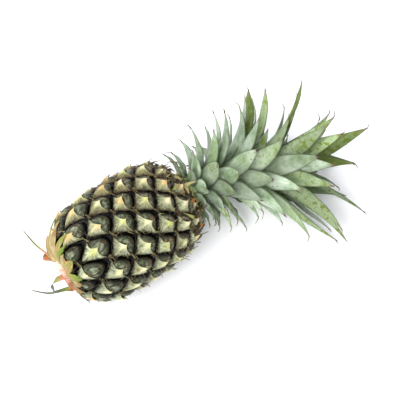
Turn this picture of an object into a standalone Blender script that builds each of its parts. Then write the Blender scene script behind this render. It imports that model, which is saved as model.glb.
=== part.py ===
"""A whole pineapple lying on its side: the fruit with its eyes, its crown of leaves and its cut stalk.

Metres, +Z up. The fruit's axis is level and runs along +X, from the stalk to the crown. The origin
is in the middle of the flat that the fruit rests on, under its weight."""

import math
import random

import bmesh
import bpy
from mathutils import Vector

# Fruit: a barrel that is fuller towards the crown
FRUIT_RADIUS = 0.0560
FRUIT_LENGTH = 0.1572
WIDEST = 0.0755            # from the stalk end
STALK_FULLNESS = 3.2       # exponents of the outline's two halves
CROWN_FULLNESS = 4.3
STALK_FLAT = 0.0070        # how much is flattened off the end that the stalk leaves
CROWN_FLAT = 0.0018        # and off the end that carries the crown
REST_FLAT = 0.0022         # how deep the flats of the eyes at the bottom go
PATH_STEPS = 600           # steps that the skin's length is measured in

# Eyes: a golden-angle spiral, in which each eye's neighbours are 8 and 13 places on
GOLDEN_ANGLE = math.radians(137.508)
SPIRAL_START = math.radians(-13.3)   # the widest eye's place, turned from the top towards +Y
EYE_STEP = 0.00150         # along the skin from one eye of the spiral to the next, at the widest place
STALK_GROWTH = 0.0000130   # the step grows towards the stalk
CROWN_GROWTH = 0.0000030   # and shrinks towards the crown
END_CROWDING = 8           # how suddenly the eyes crowd together at the ends
END_RADIUS = 0.0060        # that the last eyes stop at
FIRST_EYE = -54
LAST_EYE = 68
REST_EYE = 4               # the eye under the fruit's weight
EYE_LINES = (0.0, 0.17, 0.56, 0.83)   # across an eye, as parts of its side
GROOVE_DEPTH = 0.0040
SHOULDER = 0.20            # width of an eye's rounded shoulder, as a part of its side
TIP_PLACE = 0.56           # of the bract's raised tip, along the eye's diagonal
TIP_RISE = 0.0032
TIP_REACH = 0.24
DOME_DROP = 0.0012         # of the crown side of an eye below its stalk side

# Crown: a stem in a spiral of channelled leaves, low ones short and spread, inner ones upright
CROWN_SIDE = math.radians(17.0)      # the crown bends towards -Y
CROWN_DROOP = math.radians(6.0)      # and down
BEND_LENGTH = 0.030
STEM_RADIUS = 0.0190
STEM_TOP_RADIUS = 0.0080
STEM_LENGTH = 0.1000
STEM_SIDES = 14
STEM_RINGS = 6
LEAF_COUNT = 100
LEAF_SEED = 600
LEAF_TURN = math.radians(258.0)
FIRST_LEAF = 0.004         # height of the lowest leaf, as a part of the stem's length
LEAF_SPREAD = 0.945        # from there to the innermost one
LEAF_CROWDING = 1.2        # exponent that crowds the leaves at the foot of the stem
# Leaves that stand out from the rule: how much longer, and how much further out and round in degrees
LEAF_QUIRKS = {4: (1.2, -6, 0), 9: (1.0, 10, 0), 13: (1.0, -6, 0), 18: (0.95, 0, -14), 22: (1.1, 3, 0),
               26: (0.7, 12, -14), 27: (1.1, -6, 14), 29: (0.7, 0, 0), 31: (0.8, -6, 0),
               34: (0.7, -6, -7), 35: (1.2, 3, 0), 38: (1.0, 6, -14), 39: (0.9, 3, 0),
               42: (0.8, -12, 0), 43: (1.2, -3, 0), 46: (1.1, 0, -14), 47: (0.7, -12, 0),
               48: (1.1, 0, 0), 51: (1.15, 0, -7), 55: (0.9, 3, 0), 56: (0.85, 14, 0),
               59: (1.0, 0, -14), 61: (0.7, 0, 0), 63: (1.05, 10, -7), 67: (1.1, 12, -14),
               68: (1.25, 10, 0), 69: (0.8, -6, 0), 72: (0.8, 12, 0), 73: (1.0, 6, 0), 76: (1.25, 3, 0),
               77: (1.1, 0, 0), 81: (1.1, 12, 7), 82: (1.0, 0, -7), 84: (1.1, 12, -14), 86: (1.1, 6, 0),
               87: (1.0, 0, 14), 88: (0.8, 0, 0), 89: (1.2, 0, -7), 94: (0.9, 0, 0), 95: (1.2, 0, -7),
               98: (0.8, 0, 0)}
LEAF_ROOT = 0.0040         # how deep a leaf's root is sunk in the stem
LEAF_STEPS = 6
LEAF_THICKNESS = 0.0024
LEAF_CHANNEL = 0.16        # depth of a leaf's channel, as a part of its width
FLOOR_CLEARANCE = 0.0010
FLOOR_REACH = 0.022        # height over which a drooping leaf levels out above the surface

# Stalk: the cut stub, a collar of short bracts on the fruit's end, and longer straps
STUB_RADIUS = 0.0135
STUB_LENGTH = 0.0070
STUB_SIDES = 20
COLLAR_COUNT = 9
COLLAR_SEED = 7
STRAP_STEPS = 9
STRAP_THICKNESS = 0.0014

TOUCHING_GAP = 0.0003      # between pieces that sit on each other
AXIS_HEIGHT = FRUIT_RADIUS + TIP_RISE * 0.35 - REST_FLAT


def material(name, colour, roughness):
    """A plain, non-metallic surface."""
    surface = bpy.data.materials.new(name)
    surface.use_nodes = True
    shader = surface.node_tree.nodes["Principled BSDF"]
    shader.inputs["Base Color"].default_value = (*colour, 1.0)
    shader.inputs["Roughness"].default_value = roughness
    shader.inputs["Metallic"].default_value = 0.0
    return surface


def add_object(name, mesh, surface):
    """Put a mesh in the scene under its own name."""
    piece = bpy.data.objects.new(name, mesh)
    bpy.context.scene.collection.objects.link(piece)
    if surface:
        mesh.materials.append(surface)
    return piece


def smooth_step(value):
    """0 below 0, 1 above 1, and a soft rise between."""
    value = min(max(value, 0.0), 1.0)
    return value * value * (3.0 - 2.0 * value)


# Fruit ----------------------------------------------------------------------------------------

def outline_radius(place):
    """Radius of the fruit's body at a distance along its axis from the stalk end."""
    if place < WIDEST:
        return FRUIT_RADIUS * math.sqrt(max(0.0, 1.0 - (1.0 - place / WIDEST) ** STALK_FULLNESS))
    beyond = (place - WIDEST) / (FRUIT_LENGTH - WIDEST)
    return FRUIT_RADIUS * math.sqrt(max(0.0, 1.0 - beyond ** CROWN_FULLNESS))


def measure_skin():
    """Places along the axis, each with its distance along the skin from the widest place."""
    places = [FRUIT_LENGTH * 0.5 * (1.0 - math.cos(math.pi * k / PATH_STEPS)) for k in range(PATH_STEPS + 1)]
    lengths = [0.0]
    for before, after in zip(places, places[1:]):
        lengths.append(lengths[-1] + math.hypot(after - before, outline_radius(after) - outline_radius(before)))
    middle = interpolate(WIDEST, places, lengths)
    return places, [length - middle for length in lengths]


def interpolate(value, inputs, outputs):
    """Read a rising table between its entries."""
    low, high = 0, len(inputs) - 1
    while high - low > 1:
        middle = (low + high) // 2
        if inputs[middle] <= value:
            low = middle
        else:
            high = middle
    part = (value - inputs[low]) / (inputs[high] - inputs[low])
    return outputs[low] + min(max(part, 0.0), 1.0) * (outputs[high] - outputs[low])


SKIN_PLACES, SKIN_LENGTHS = measure_skin()


def skin_place(spiral):
    """Place along the axis that the spiral of eyes reaches at a (fractional) eye number."""
    if spiral < 0:
        distance = spiral * EYE_STEP - STALK_GROWTH * spiral * spiral
        limit = -SKIN_LENGTHS[0] - END_RADIUS
    else:
        distance = spiral * EYE_STEP - CROWN_GROWTH * spiral * spiral
        limit = SKIN_LENGTHS[-1] - END_RADIUS
    crowded = distance / (1.0 + abs(distance / limit) ** END_CROWDING) ** (1.0 / END_CROWDING)
    return interpolate(crowded, SKIN_LENGTHS, SKIN_PLACES)


REST_PLACE = skin_place(REST_EYE)


def eye_relief(across, along):
    """Height of an eye's surface. Both run from 0 at its stalk-side corner to 1 at its crown-side one."""
    edge = min(across, along, 1.0 - across, 1.0 - along)
    shoulder = min(edge / SHOULDER, 1.0)
    height = -GROOVE_DEPTH * (1.0 - math.sqrt(1.0 - (1.0 - shoulder) ** 2))
    height -= DOME_DROP * smooth_step(across + along - 1.1)
    to_tip = math.hypot(across - TIP_PLACE, along - TIP_PLACE)
    return height + TIP_RISE * max(0.0, 1.0 - to_tip / TIP_REACH)


def fruit_point(eye, across, along):
    """A point on an eye, at fractions of its two sides."""
    spiral = eye + 8.0 * (across - 0.5) + 13.0 * (along - 0.5)
    turn = SPIRAL_START + GOLDEN_ANGLE * eye
    turn += (8.0 * GOLDEN_ANGLE - 6.0 * math.pi) * (across - 0.5)
    turn += (13.0 * GOLDEN_ANGLE - 10.0 * math.pi) * (along - 0.5)
    place = skin_place(spiral)
    radius = outline_radius(place)
    ahead = min(place + 0.0002, FRUIT_LENGTH)
    behind = max(place - 0.0002, 0.0)
    slope = math.atan2(outline_radius(ahead) - outline_radius(behind), ahead - behind)
    height = eye_relief(across, along) * smooth_step((radius / FRUIT_RADIUS - 0.35) / 0.3)
    radius += height * math.cos(slope)
    place -= height * math.sin(slope)
    place = min(max(place, STALK_FLAT), FRUIT_LENGTH - CROWN_FLAT)
    up = AXIS_HEIGHT + radius * math.cos(turn)
    return Vector((place - REST_PLACE, radius * math.sin(turn), max(up, 0.0)))


def build_fruit():
    """The body with its eyes raised from the surface, each eye a patch that shares its edges."""
    mesh = bmesh.new()
    corners = {}

    def corner(eye, across, along):
        """The vertex at a line crossing, which belongs to the next eye where it is on the far edge."""
        if across == len(EYE_LINES):
            eye, across = eye + 8, 0
        if along == len(EYE_LINES):
            eye, along = eye + 13, 0
        key = (eye, across, along)
        if key not in corners:
            corners[key] = mesh.verts.new(fruit_point(eye, EYE_LINES[across], EYE_LINES[along]))
        return corners[key]

    for eye in range(FIRST_EYE, LAST_EYE + 1):
        for across in range(len(EYE_LINES)):
            for along in range(len(EYE_LINES)):
                low = corner(eye, across, along)
                right = corner(eye, across + 1, along)
                high = corner(eye, across + 1, along + 1)
                left = corner(eye, across, along + 1)
                mesh.faces.new((low, right, high))
                mesh.faces.new((low, high, left))
    for end in (STALK_FLAT, FRUIT_LENGTH - CROWN_FLAT):
        middle = mesh.verts.new((end - REST_PLACE, 0.0, AXIS_HEIGHT))
        rim = [edge for edge in mesh.edges if edge.is_boundary]
        rim = [edge for edge in rim if abs(edge.verts[0].co.x - middle.co.x) < FRUIT_LENGTH / 2]
        for edge in rim:
            mesh.faces.new((edge.verts[0], edge.verts[1], middle))
    bmesh.ops.recalc_face_normals(mesh, faces=mesh.faces)
    fruit = bpy.data.meshes.new("fruit")
    mesh.to_mesh(fruit)
    mesh.free()
    fruit.shade_smooth()
    fruit.set_sharp_from_angle(angle=math.radians(50.0))
    return add_object("fruit", fruit, material("pineapple_skin", (0.20, 0.21, 0.11), 0.6))


def blade(name, stations):
    """A closed blade of four-sided sections: point, across, inner face, width, thickness, channel."""
    mesh = bmesh.new()
    rings = []
    for point, across, inner, width, thickness, channel in stations:
        if width == 0.0:
            rings.append([mesh.verts.new(point)])
            continue
        edge = inner * channel * width
        ring = (point - across * width / 2 + edge, point + inner * thickness / 2,
                point + across * width / 2 + edge, point - inner * thickness / 2)
        rings.append([mesh.verts.new(corner) for corner in ring])
    mesh.faces.new(rings[0][::-1])
    for low, high in zip(rings, rings[1:]):
        for side in range(4):
            after = (side + 1) % 4
            if len(high) == 1:
                mesh.faces.new((low[side], low[after], high[0]))
            else:
                mesh.faces.new((low[side], low[after], high[after], high[side]))
    if len(rings[-1]) > 1:
        mesh.faces.new(rings[-1])
    bmesh.ops.recalc_face_normals(mesh, faces=mesh.faces)
    bmesh.ops.triangulate(mesh, faces=mesh.faces)
    solid = bpy.data.meshes.new(name)
    mesh.to_mesh(solid)
    mesh.free()
    return add_object(name, solid, None)


def turned(name, rings, sides):
    """A closed solid through round rings, each a middle point, two directions across and a radius."""
    mesh = bmesh.new()
    loops = []
    for middle, first, second, radius in rings:
        angles = [2.0 * math.pi * side / sides for side in range(sides)]
        points = [middle + (first * math.cos(a) + second * math.sin(a)) * radius for a in angles]
        loops.append([mesh.verts.new(point) for point in points])
    for low, high in zip(loops, loops[1:]):
        for side in range(sides):
            after = (side + 1) % sides
            mesh.faces.new((low[side], low[after], high[after], high[side]))
    mesh.faces.new(loops[0])
    mesh.faces.new(loops[-1][::-1])
    bmesh.ops.recalc_face_normals(mesh, faces=mesh.faces)
    bmesh.ops.triangulate(mesh, faces=mesh.faces)
    solid = bpy.data.meshes.new(name)
    mesh.to_mesh(solid)
    mesh.free()
    return add_object(name, solid, None)


def keep_largest_shell(solid):
    """Drop the loose scraps of a union, and fill the hollows that it sealed."""
    mesh = bmesh.new()
    mesh.from_mesh(solid)
    waiting = set(mesh.verts)
    shells = []
    while waiting:
        shell, edge_of_search = set(), [waiting.pop()]
        while edge_of_search:
            vertex = edge_of_search.pop()
            shell.add(vertex)
            near = {edge.other_vert(vertex) for edge in vertex.link_edges} & waiting
            waiting -= near
            edge_of_search.extend(near)
        shells.append(shell)
    largest = max(shells, key=len)
    bmesh.ops.delete(mesh, geom=[v for v in mesh.verts if v not in largest], context="VERTS")
    mesh.to_mesh(solid)
    mesh.free()


def fuse(body, repeats, surface):
    """Join a node's repeats to what they grow from, in one closed body."""
    group = bpy.data.collections.new(body.name + "_repeats")
    for piece in repeats:
        group.objects.link(piece)
    union = body.modifiers.new("union", "BOOLEAN")
    union.operation = "UNION"
    union.solver = "MANIFOLD"
    union.operand_type = "COLLECTION"
    union.collection = group
    bpy.context.view_layer.update()
    evaluated = body.evaluated_get(bpy.context.evaluated_depsgraph_get())
    joined = bpy.data.meshes.new_from_object(evaluated)
    keep_largest_shell(joined)
    body.modifiers.clear()
    body.data = joined
    for piece in repeats:
        bpy.data.objects.remove(piece)
    bpy.data.collections.remove(group)
    joined.materials.clear()
    joined.materials.append(surface)
    joined.shade_smooth()
    joined.set_sharp_from_angle(angle=math.radians(50.0))


# Crown ----------------------------------------------------------------------------------------

CROWN_BASE = Vector((FRUIT_LENGTH - CROWN_FLAT + TOUCHING_GAP - REST_PLACE, 0.0, AXIS_HEIGHT))


def crown_frame(height):
    """A point on the stem's middle and its axes: along the stem, and two across, the first upwards."""
    straight = Vector((1.0, 0.0, 0.0))
    bent = Vector((1.0, -math.tan(CROWN_SIDE), -math.tan(CROWN_DROOP))).normalized()
    part = min(height / BEND_LENGTH, 1.0)
    length = straight.lerp(bent, part).normalized()
    bend_part = part * min(height, BEND_LENGTH) / 2
    point = CROWN_BASE + straight * (min(height, BEND_LENGTH) - bend_part) + bent * bend_part
    point += bent * max(height - BEND_LENGTH, 0.0)
    sideways = Vector((0.0, 0.0, 1.0)).cross(length).normalized()
    return point, length, length.cross(sideways), sideways


def stem_radius(height):
    """Radius of the crown's stem, which narrows upwards."""
    return STEM_RADIUS + (STEM_TOP_RADIUS - STEM_RADIUS) * height / STEM_LENGTH


def leaf_shape(leaf):
    """Where a leaf grows and how it is shaped, from the outer leaves to the inner ones."""
    draw = random.Random(LEAF_SEED + leaf)
    part = FIRST_LEAF + LEAF_SPREAD * (leaf / (LEAF_COUNT - 1)) ** LEAF_CROWDING
    longer, further, around = LEAF_QUIRKS.get(leaf, (1.0, 0.0, 0.0))
    turn = LEAF_TURN + GOLDEN_ANGLE * leaf + math.radians(around) + draw.uniform(-0.10, 0.10)
    lean = 95.0 + further - 60.0 * part ** 0.6 - 26.0 * smooth_step((part - 0.78) / 0.2)
    lean += draw.uniform(-5.0, 5.0)
    curl = 19.0 - 3.0 * part + draw.uniform(-6.0, 8.0)
    sweep = draw.uniform(-8.0, 8.0)
    length = 0.026 + 0.128 * min(part, 0.62) + draw.uniform(-0.006, 0.006) * min(1.0, 0.4 + 2.0 * part)
    return {
        "height": STEM_LENGTH * part,
        "turn": turn,
        "lean": math.radians(lean),
        "curl": math.radians(curl),
        "sweep": math.radians(sweep),
        "length": longer * length,
        "width": 0.0130 + 0.0090 * smooth_step(part / 0.12) + 0.0015 * math.sin(math.pi * part),
    }


def leaf_width(part):
    """Width of a leaf along its length, as a part of its widest: broad below, with a long point."""
    return (0.70 + 1.3 * part * (1.0 - 0.6 * part)) * (1.0 - part ** 2.4) if part < 1.0 else 0.0


def leaf_spine(leaf, steps):
    """Stations down a leaf's middle: a point, the direction across, the inner face and the part."""
    shape = leaf_shape(leaf)
    middle, length, upwards, sideways = crown_frame(shape["height"])
    outwards = math.cos(shape["turn"]) * upwards + math.sin(shape["turn"]) * sideways
    tangent = length.cross(outwards)
    point = middle + outwards * (stem_radius(shape["height"]) - LEAF_ROOT)
    spine = []
    for step in range(steps + 1):
        part = step / steps
        lean = shape["lean"] - math.radians(24.0) * (1.0 - part) ** 2 + shape["curl"] * part ** 2
        along = length * math.cos(lean) + outwards * math.sin(lean)
        along = (along + tangent * math.tan(shape["sweep"]) * part).normalized()
        low_edge = abs(tangent.z) * shape["width"] * leaf_width(part) / 2
        steepest = (FLOOR_CLEARANCE + low_edge - point.z) / FLOOR_REACH
        if along.z < steepest:
            level = Vector((along.x + 0.25, along.y, 0.0)).normalized()
            along = level * math.sqrt(1.0 - steepest * steepest) + Vector((0.0, 0.0, steepest))
        inner = along.cross(tangent).normalized()
        spine.append((point.copy(), inner.cross(along).normalized(), inner, part))
        point = point + along * shape["length"] / steps
    return spine


def build_crown():
    """The stem with its leaves, joined in one body."""
    rings = []
    for ring in range(STEM_RINGS + 1):
        height = STEM_LENGTH * ring / STEM_RINGS
        point, length, upwards, sideways = crown_frame(height)
        rings.append((point, upwards, sideways, stem_radius(height)))
    stem = turned("crown", rings, STEM_SIDES)
    leaves = []
    for leaf in range(LEAF_COUNT):
        width = leaf_shape(leaf)["width"]
        stations = []
        for point, across, inner, part in leaf_spine(leaf, LEAF_STEPS):
            thickness = LEAF_THICKNESS * (1.0 - 0.6 * part)
            stations.append((point, across, inner, width * leaf_width(part), thickness, LEAF_CHANNEL))
        leaves.append(blade(f"leaf_{leaf}", stations))
    fuse(stem, leaves, material("crown_leaf", (0.33, 0.43, 0.27), 0.55))


# Stalk ----------------------------------------------------------------------------------------

STALK_BASE = Vector((STALK_FLAT - TOUCHING_GAP - REST_PLACE, 0.0, AXIS_HEIGHT))

# Each strap's root, route and tip from the stalk's middle, its width at the root and at the tip,
# and the way its flat side faces.
STRAPS = (
    (((-0.003, 0.010, 0.002), (-0.007, 0.024, 0.006), (-0.012, 0.038, 0.012), (-0.015, 0.052, 0.025)),
     0.0050, 0.0016, (1.0, 0.2, 0.0)),
    (((-0.002, -0.008, 0.004), (-0.014, -0.006, 0.006), (-0.020, -0.003, -0.006), (-0.021, -0.003, -0.020)),
     0.0085, 0.0016, (0.0, 0.4, 1.0)),
    (((-0.004, -0.009, -0.003), (-0.0045, -0.019, -0.006), (-0.010, -0.015, -0.008),
      (-0.019, -0.0095, -0.013), (-0.028, -0.004, -0.016), (-0.040, 0.003, -0.003)),
     0.0060, 0.0014, (0.0, 1.0, 0.6)),
    (((-0.003, -0.010, -0.001), (-0.003, -0.022, -0.006), (0.002, -0.038, -0.017)), 0.0030, 0.0012,
     (1.0, 0.0, 0.4)),
    (((-0.002, 0.010, 0.003), (-0.0045, 0.024, 0.006), (-0.0035, 0.034, 0.009), (0.0010, 0.0415, 0.010)),
     0.0110, 0.0060, (-1.0, 0.2, 0.0)),
    (((-0.002, 0.011, 0.000), (-0.007, 0.022, 0.002), (-0.0095, 0.026, -0.002)), 0.0060, 0.0050,
     (-1.0, 0.0, 0.5)),
)


def curve_point(points, part):
    """A point on a smooth curve through a few points, at a fraction of its length."""
    spans = len(points) - 1
    span = min(int(part * spans), spans - 1)
    share = part * spans - span
    before = points[max(span - 1, 0)]
    low, high = points[span], points[span + 1]
    after = points[min(span + 2, spans)]
    pull, push = (high - before) / 2, (after - low) / 2
    return (low * (2 * share ** 3 - 3 * share ** 2 + 1) + pull * (share ** 3 - 2 * share ** 2 + share)
            + high * (3 * share ** 2 - 2 * share ** 3) + push * (share ** 3 - share ** 2))


def strap_stations(points, width, tip_width, face, steps):
    """Stations of a strap along its route, with its flat side turned the way it faces."""
    stations = []
    for step in range(steps + 1):
        part = step / steps
        point = curve_point(points, part)
        ahead = curve_point(points, min(part + 0.01, 1.0)) - curve_point(points, max(part - 0.01, 0.0))
        across = ahead.cross(face).normalized()
        inner = across.cross(ahead).normalized()
        stations.append((STALK_BASE + point, across, inner, width + (tip_width - width) * part,
                         STRAP_THICKNESS * (1.0 - 0.3 * part), 0.10))
    return stations


def collar_stations(bract):
    """Stations of a short bract that lies out from the stub over the fruit's end."""
    draw = random.Random(COLLAR_SEED + bract)
    turn = GOLDEN_ANGLE * bract + draw.uniform(-0.15, 0.15)
    outwards = Vector((0.0, math.sin(turn), math.cos(turn)))
    across = Vector((0.0, math.cos(turn), -math.sin(turn)))
    reach = draw.uniform(0.020, 0.028)
    stations = []
    for part, fullness in ((0.0, 0.8), (0.35, 1.0), (0.75, 0.7), (1.0, 0.15)):
        radius = 0.008 + (reach - 0.008) * part
        lift = -0.0020 - 0.0016 * part + draw.uniform(-0.0008, 0.0)
        point = STALK_BASE + outwards * radius + Vector((lift, 0.0, 0.0))
        stations.append((point, across, Vector((-1.0, 0.0, 0.0)), 0.012 * fullness, STRAP_THICKNESS, 0.05))
    return stations


def build_stalk():
    """The cut stub with its collar and straps, joined in one body."""
    upwards, sideways = Vector((0.0, 0.0, 1.0)), Vector((0.0, 1.0, 0.0))
    profile = ((0.0, 0.94), (0.15, 1.0), (0.85, 0.97), (1.0, 0.88))
    rings = []
    for part, fullness in profile:
        middle = STALK_BASE - Vector((STUB_LENGTH * part, 0.0, 0.0))
        rings.append((middle, upwards, sideways, STUB_RADIUS * fullness))
    stub = turned("stalk", rings, STUB_SIDES)
    bracts = [blade(f"collar_{bract}", collar_stations(bract)) for bract in range(COLLAR_COUNT)]
    for number, (points, width, tip_width, face) in enumerate(STRAPS):
        route = [Vector(point) for point in points]
        stations = strap_stations(route, width, tip_width, Vector(face), STRAP_STEPS)
        bracts.append(blade(f"strap_{number}", stations))
    fuse(stub, bracts, material("stalk_bract", (0.72, 0.55, 0.38), 0.7))


def main():
    for old in list(bpy.data.objects):
        bpy.data.objects.remove(old)
    build_fruit()
    build_crown()
    build_stalk()


main()
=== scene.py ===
import math
import random
from functools import partial

import bmesh
import bpy
import numpy as np
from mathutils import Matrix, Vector


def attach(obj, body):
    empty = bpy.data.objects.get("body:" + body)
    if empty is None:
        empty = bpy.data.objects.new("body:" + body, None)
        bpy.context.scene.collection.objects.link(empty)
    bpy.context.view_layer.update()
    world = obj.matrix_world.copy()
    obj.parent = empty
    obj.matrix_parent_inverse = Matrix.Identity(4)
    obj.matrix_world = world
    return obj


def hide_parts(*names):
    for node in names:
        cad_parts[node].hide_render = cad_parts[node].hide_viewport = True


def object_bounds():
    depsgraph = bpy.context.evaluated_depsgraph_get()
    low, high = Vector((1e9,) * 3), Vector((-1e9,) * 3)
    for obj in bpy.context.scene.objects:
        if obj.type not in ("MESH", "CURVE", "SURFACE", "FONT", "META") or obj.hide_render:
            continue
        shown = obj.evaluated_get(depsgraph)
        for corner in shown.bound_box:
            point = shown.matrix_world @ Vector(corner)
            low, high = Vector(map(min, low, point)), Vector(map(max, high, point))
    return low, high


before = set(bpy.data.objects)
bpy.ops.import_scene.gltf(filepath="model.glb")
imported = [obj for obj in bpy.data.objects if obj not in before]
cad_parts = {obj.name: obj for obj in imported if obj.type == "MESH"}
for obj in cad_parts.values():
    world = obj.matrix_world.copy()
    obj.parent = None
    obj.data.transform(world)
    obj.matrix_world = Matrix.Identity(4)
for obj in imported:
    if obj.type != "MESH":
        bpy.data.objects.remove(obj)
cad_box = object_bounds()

# Fruit skin: the tops of a hundred and twenty small fruits grown together round the flesh. Each eye
# is a waxy, dark green pillow between deep grooves, with its sepals bulging on the crown side of its
# middle. It is one living skin over the flesh, so it is one closed piece.
FRUIT_RADIUS = 0.0560
FRUIT_LENGTH = 0.1572
WIDEST = 0.0755            # from the stalk end
STALK_FULLNESS = 3.2       # exponents of the outline's two halves
CROWN_FULLNESS = 4.3
STALK_FLAT = 0.0070        # how much is flattened off each end, and off the eyes underneath
CROWN_FLAT = 0.0018
REST_FLAT = 0.0022
PATH_STEPS = 600
GOLDEN_ANGLE = math.radians(137.508)
ACROSS_STEP = 8            # eyes along the spiral from an eye to its neighbour across, and to that along
ALONG_STEP = 13
ACROSS_TURN = ACROSS_STEP * GOLDEN_ANGLE - 6.0 * math.pi     # and round the fruit
ALONG_TURN = ALONG_STEP * GOLDEN_ANGLE - 10.0 * math.pi
SPIRAL_START = math.radians(-13.3)
EYE_STEP = 0.00150         # along the skin from one eye of the spiral to the next
STALK_GROWTH = 0.0000130   # how the step grows towards the stalk and shrinks towards the crown
CROWN_GROWTH = 0.0000030
END_CROWDING = 8           # how sharply the steps shorten near the ends, and how far short they stop
END_RADIUS = 0.0060
FIRST_EYE = -54
LAST_EYE = 68
REST_EYE = 4               # the eye that the fruit rests on
TIP_RISE = 0.0032          # of a bract's tip over the eyes in the fruit's solid
AXIS_HEIGHT = FRUIT_RADIUS + TIP_RISE * 0.35 - REST_FLAT
SKIN_CELLS = 22            # squares along an eye's side, each about 0.8 mm
UNEVENNESS = 0.055         # how far the eyes' corners stray, as a part of an eye's side
NEARBY = 0.0002            # how far ahead and behind the outline's slope is measured
GROOVE_DEPTH = 0.0052
GROOVE_SHOULDER = 0.18     # width of an eye's rounded shoulder, as a part of its side
GROOVE_MARGIN = 0.02       # half the width of a groove's floor, as a part of an eye's side
DOME_RISE = 0.0024         # of the sepals over the rest of the eye
CREASE_DEPTH = 0.0014      # of the ring that the big old eyes have round their middle


def smooth_step(value):
    """0 below 0, 1 above 1, and a soft rise between."""
    value = np.clip(value, 0.0, 1.0)
    return value * value * (3.0 - 2.0 * value)


def outline_radius(place):
    """Radius of the fruit's body at distances along its axis from the stalk end."""
    before = np.clip(1.0 - place / WIDEST, 0.0, 1.0) ** STALK_FULLNESS
    beyond = np.clip((place - WIDEST) / (FRUIT_LENGTH - WIDEST), 0.0, 1.0) ** CROWN_FULLNESS
    return FRUIT_RADIUS * np.sqrt(np.clip(1.0 - before - beyond, 0.0, 1.0))


skin_places = FRUIT_LENGTH * 0.5 * (1.0 - np.cos(np.pi * np.arange(PATH_STEPS + 1) / PATH_STEPS))
skin_lengths = np.hypot(np.diff(skin_places), np.diff(outline_radius(skin_places)))
skin_lengths = np.concatenate(([0.0], np.cumsum(skin_lengths)))
skin_lengths -= np.interp(WIDEST, skin_places, skin_lengths)


def skin_place(spiral):
    """Places along the axis that the spiral of eyes reaches at (fractional) eye numbers."""
    growth = np.where(spiral < 0, STALK_GROWTH, CROWN_GROWTH)
    distance = spiral * EYE_STEP - growth * spiral * spiral
    limit = np.where(spiral < 0, -skin_lengths[0], skin_lengths[-1]) - END_RADIUS
    crowded = distance / (1.0 + np.abs(distance / limit) ** END_CROWDING) ** (1.0 / END_CROWDING)
    return np.interp(crowded, skin_lengths, skin_places)


REST_PLACE = float(skin_place(np.array(float(REST_EYE))))
strays = UNEVENNESS * np.array([[random.Random(seed + corner).uniform(-1, 1) for seed in (1000, 1500)]
                                for corner in range(FIRST_EYE, LAST_EYE + 50)])


def on_axis(place):
    """A point on the fruit's axis, at a distance from its stalk end."""
    return Vector((place - REST_PLACE, 0.0, AXIS_HEIGHT))


def on_fruit(eye, across, along, height):
    """Points over the skin, at fractions of an eye's two sides from its stalk-side corner."""
    number = np.asarray(eye, dtype=int) - FIRST_EYE
    shares = ((1.0 - across) * (1.0 - along), across * (1.0 - along), (1.0 - across) * along, across * along)
    corners = (0, ACROSS_STEP, ALONG_STEP, ACROSS_STEP + ALONG_STEP)
    stray = sum(np.asarray(share)[..., None] * strays[number + corner] for share, corner in zip(shares, corners))
    across, along = across + stray[..., 0], along + stray[..., 1]
    turn = SPIRAL_START + GOLDEN_ANGLE * eye
    turn = turn + ACROSS_TURN * (across - 0.5)
    turn = turn + ALONG_TURN * (along - 0.5)
    place = skin_place(eye + ACROSS_STEP * (across - 0.5) + ALONG_STEP * (along - 0.5))
    radius = outline_radius(place)
    ahead, behind = np.minimum(place + NEARBY, FRUIT_LENGTH), np.maximum(place - NEARBY, 0.0)
    slope = np.arctan2(outline_radius(ahead) - outline_radius(behind), ahead - behind)
    height = height * smooth_step((radius / FRUIT_RADIUS - 0.35) / 0.3)
    radius = radius + height * np.cos(slope)
    place = np.clip(place - height * np.sin(slope), STALK_FLAT, FRUIT_LENGTH - CROWN_FLAT)
    up = np.maximum(AXIS_HEIGHT + radius * np.cos(turn), 0.0)
    return np.stack((place - REST_PLACE, radius * np.sin(turn), up), -1)


def toward_stalk(eye):
    """1 for the big old eyes by the stalk, 0 for the young ones by the crown."""
    return smooth_step((8.0 - eye) / 50.0)


def make_piece(name, points, faces, surface, numbers=None, uvs=None):
    """A mesh piece with smooth faces, its surface, and named numbers and flat places at its points."""
    mesh = bpy.data.meshes.new(name)
    mesh.from_pydata(np.array([tuple(point) for point in points]).tolist(), [], [list(face) for face in faces])
    mesh.update()
    mesh.shade_smooth()
    for label, values in (numbers or {}).items():
        layer = mesh.attributes.new(label, "FLOAT", "POINT")
        layer.data.foreach_set("value", np.array(values, dtype=np.float32).ravel())
    corners = np.empty(len(mesh.loops), dtype=np.int32)
    mesh.loops.foreach_get("vertex_index", corners)
    for label, values in (uvs or {}).items():
        layer = mesh.uv_layers.new(name=label)
        layer.data.foreach_set("uv", np.array(values, dtype=np.float32)[corners].ravel())
    piece = bpy.data.objects.new(name, mesh)
    bpy.context.scene.collection.objects.link(piece)
    mesh.materials.append(surface)
    return piece


def linear(colour):
    """A linear colour from sRGB hex."""
    parts = [int(colour[k:k + 2], 16) / 255.0 for k in (1, 3, 5)]
    return (*[part / 12.92 if part <= 0.04045 else ((part + 0.055) / 1.055) ** 2.4 for part in parts], 1.0)


def feed(node, *values, **named):
    """Fill a node's inputs, those in use in turn and those named, with values, colours or sockets."""
    pairs = list(zip([socket for socket in node.inputs if socket.enabled], values))
    pairs += [(node.inputs[name.replace("_", " ")], value) for name, value in named.items()]
    for socket, value in pairs:
        if isinstance(value, bpy.types.NodeSocket):
            node.id_data.links.new(value, socket)
        else:
            socket.default_value = linear(value) if isinstance(value, str) else value


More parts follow.
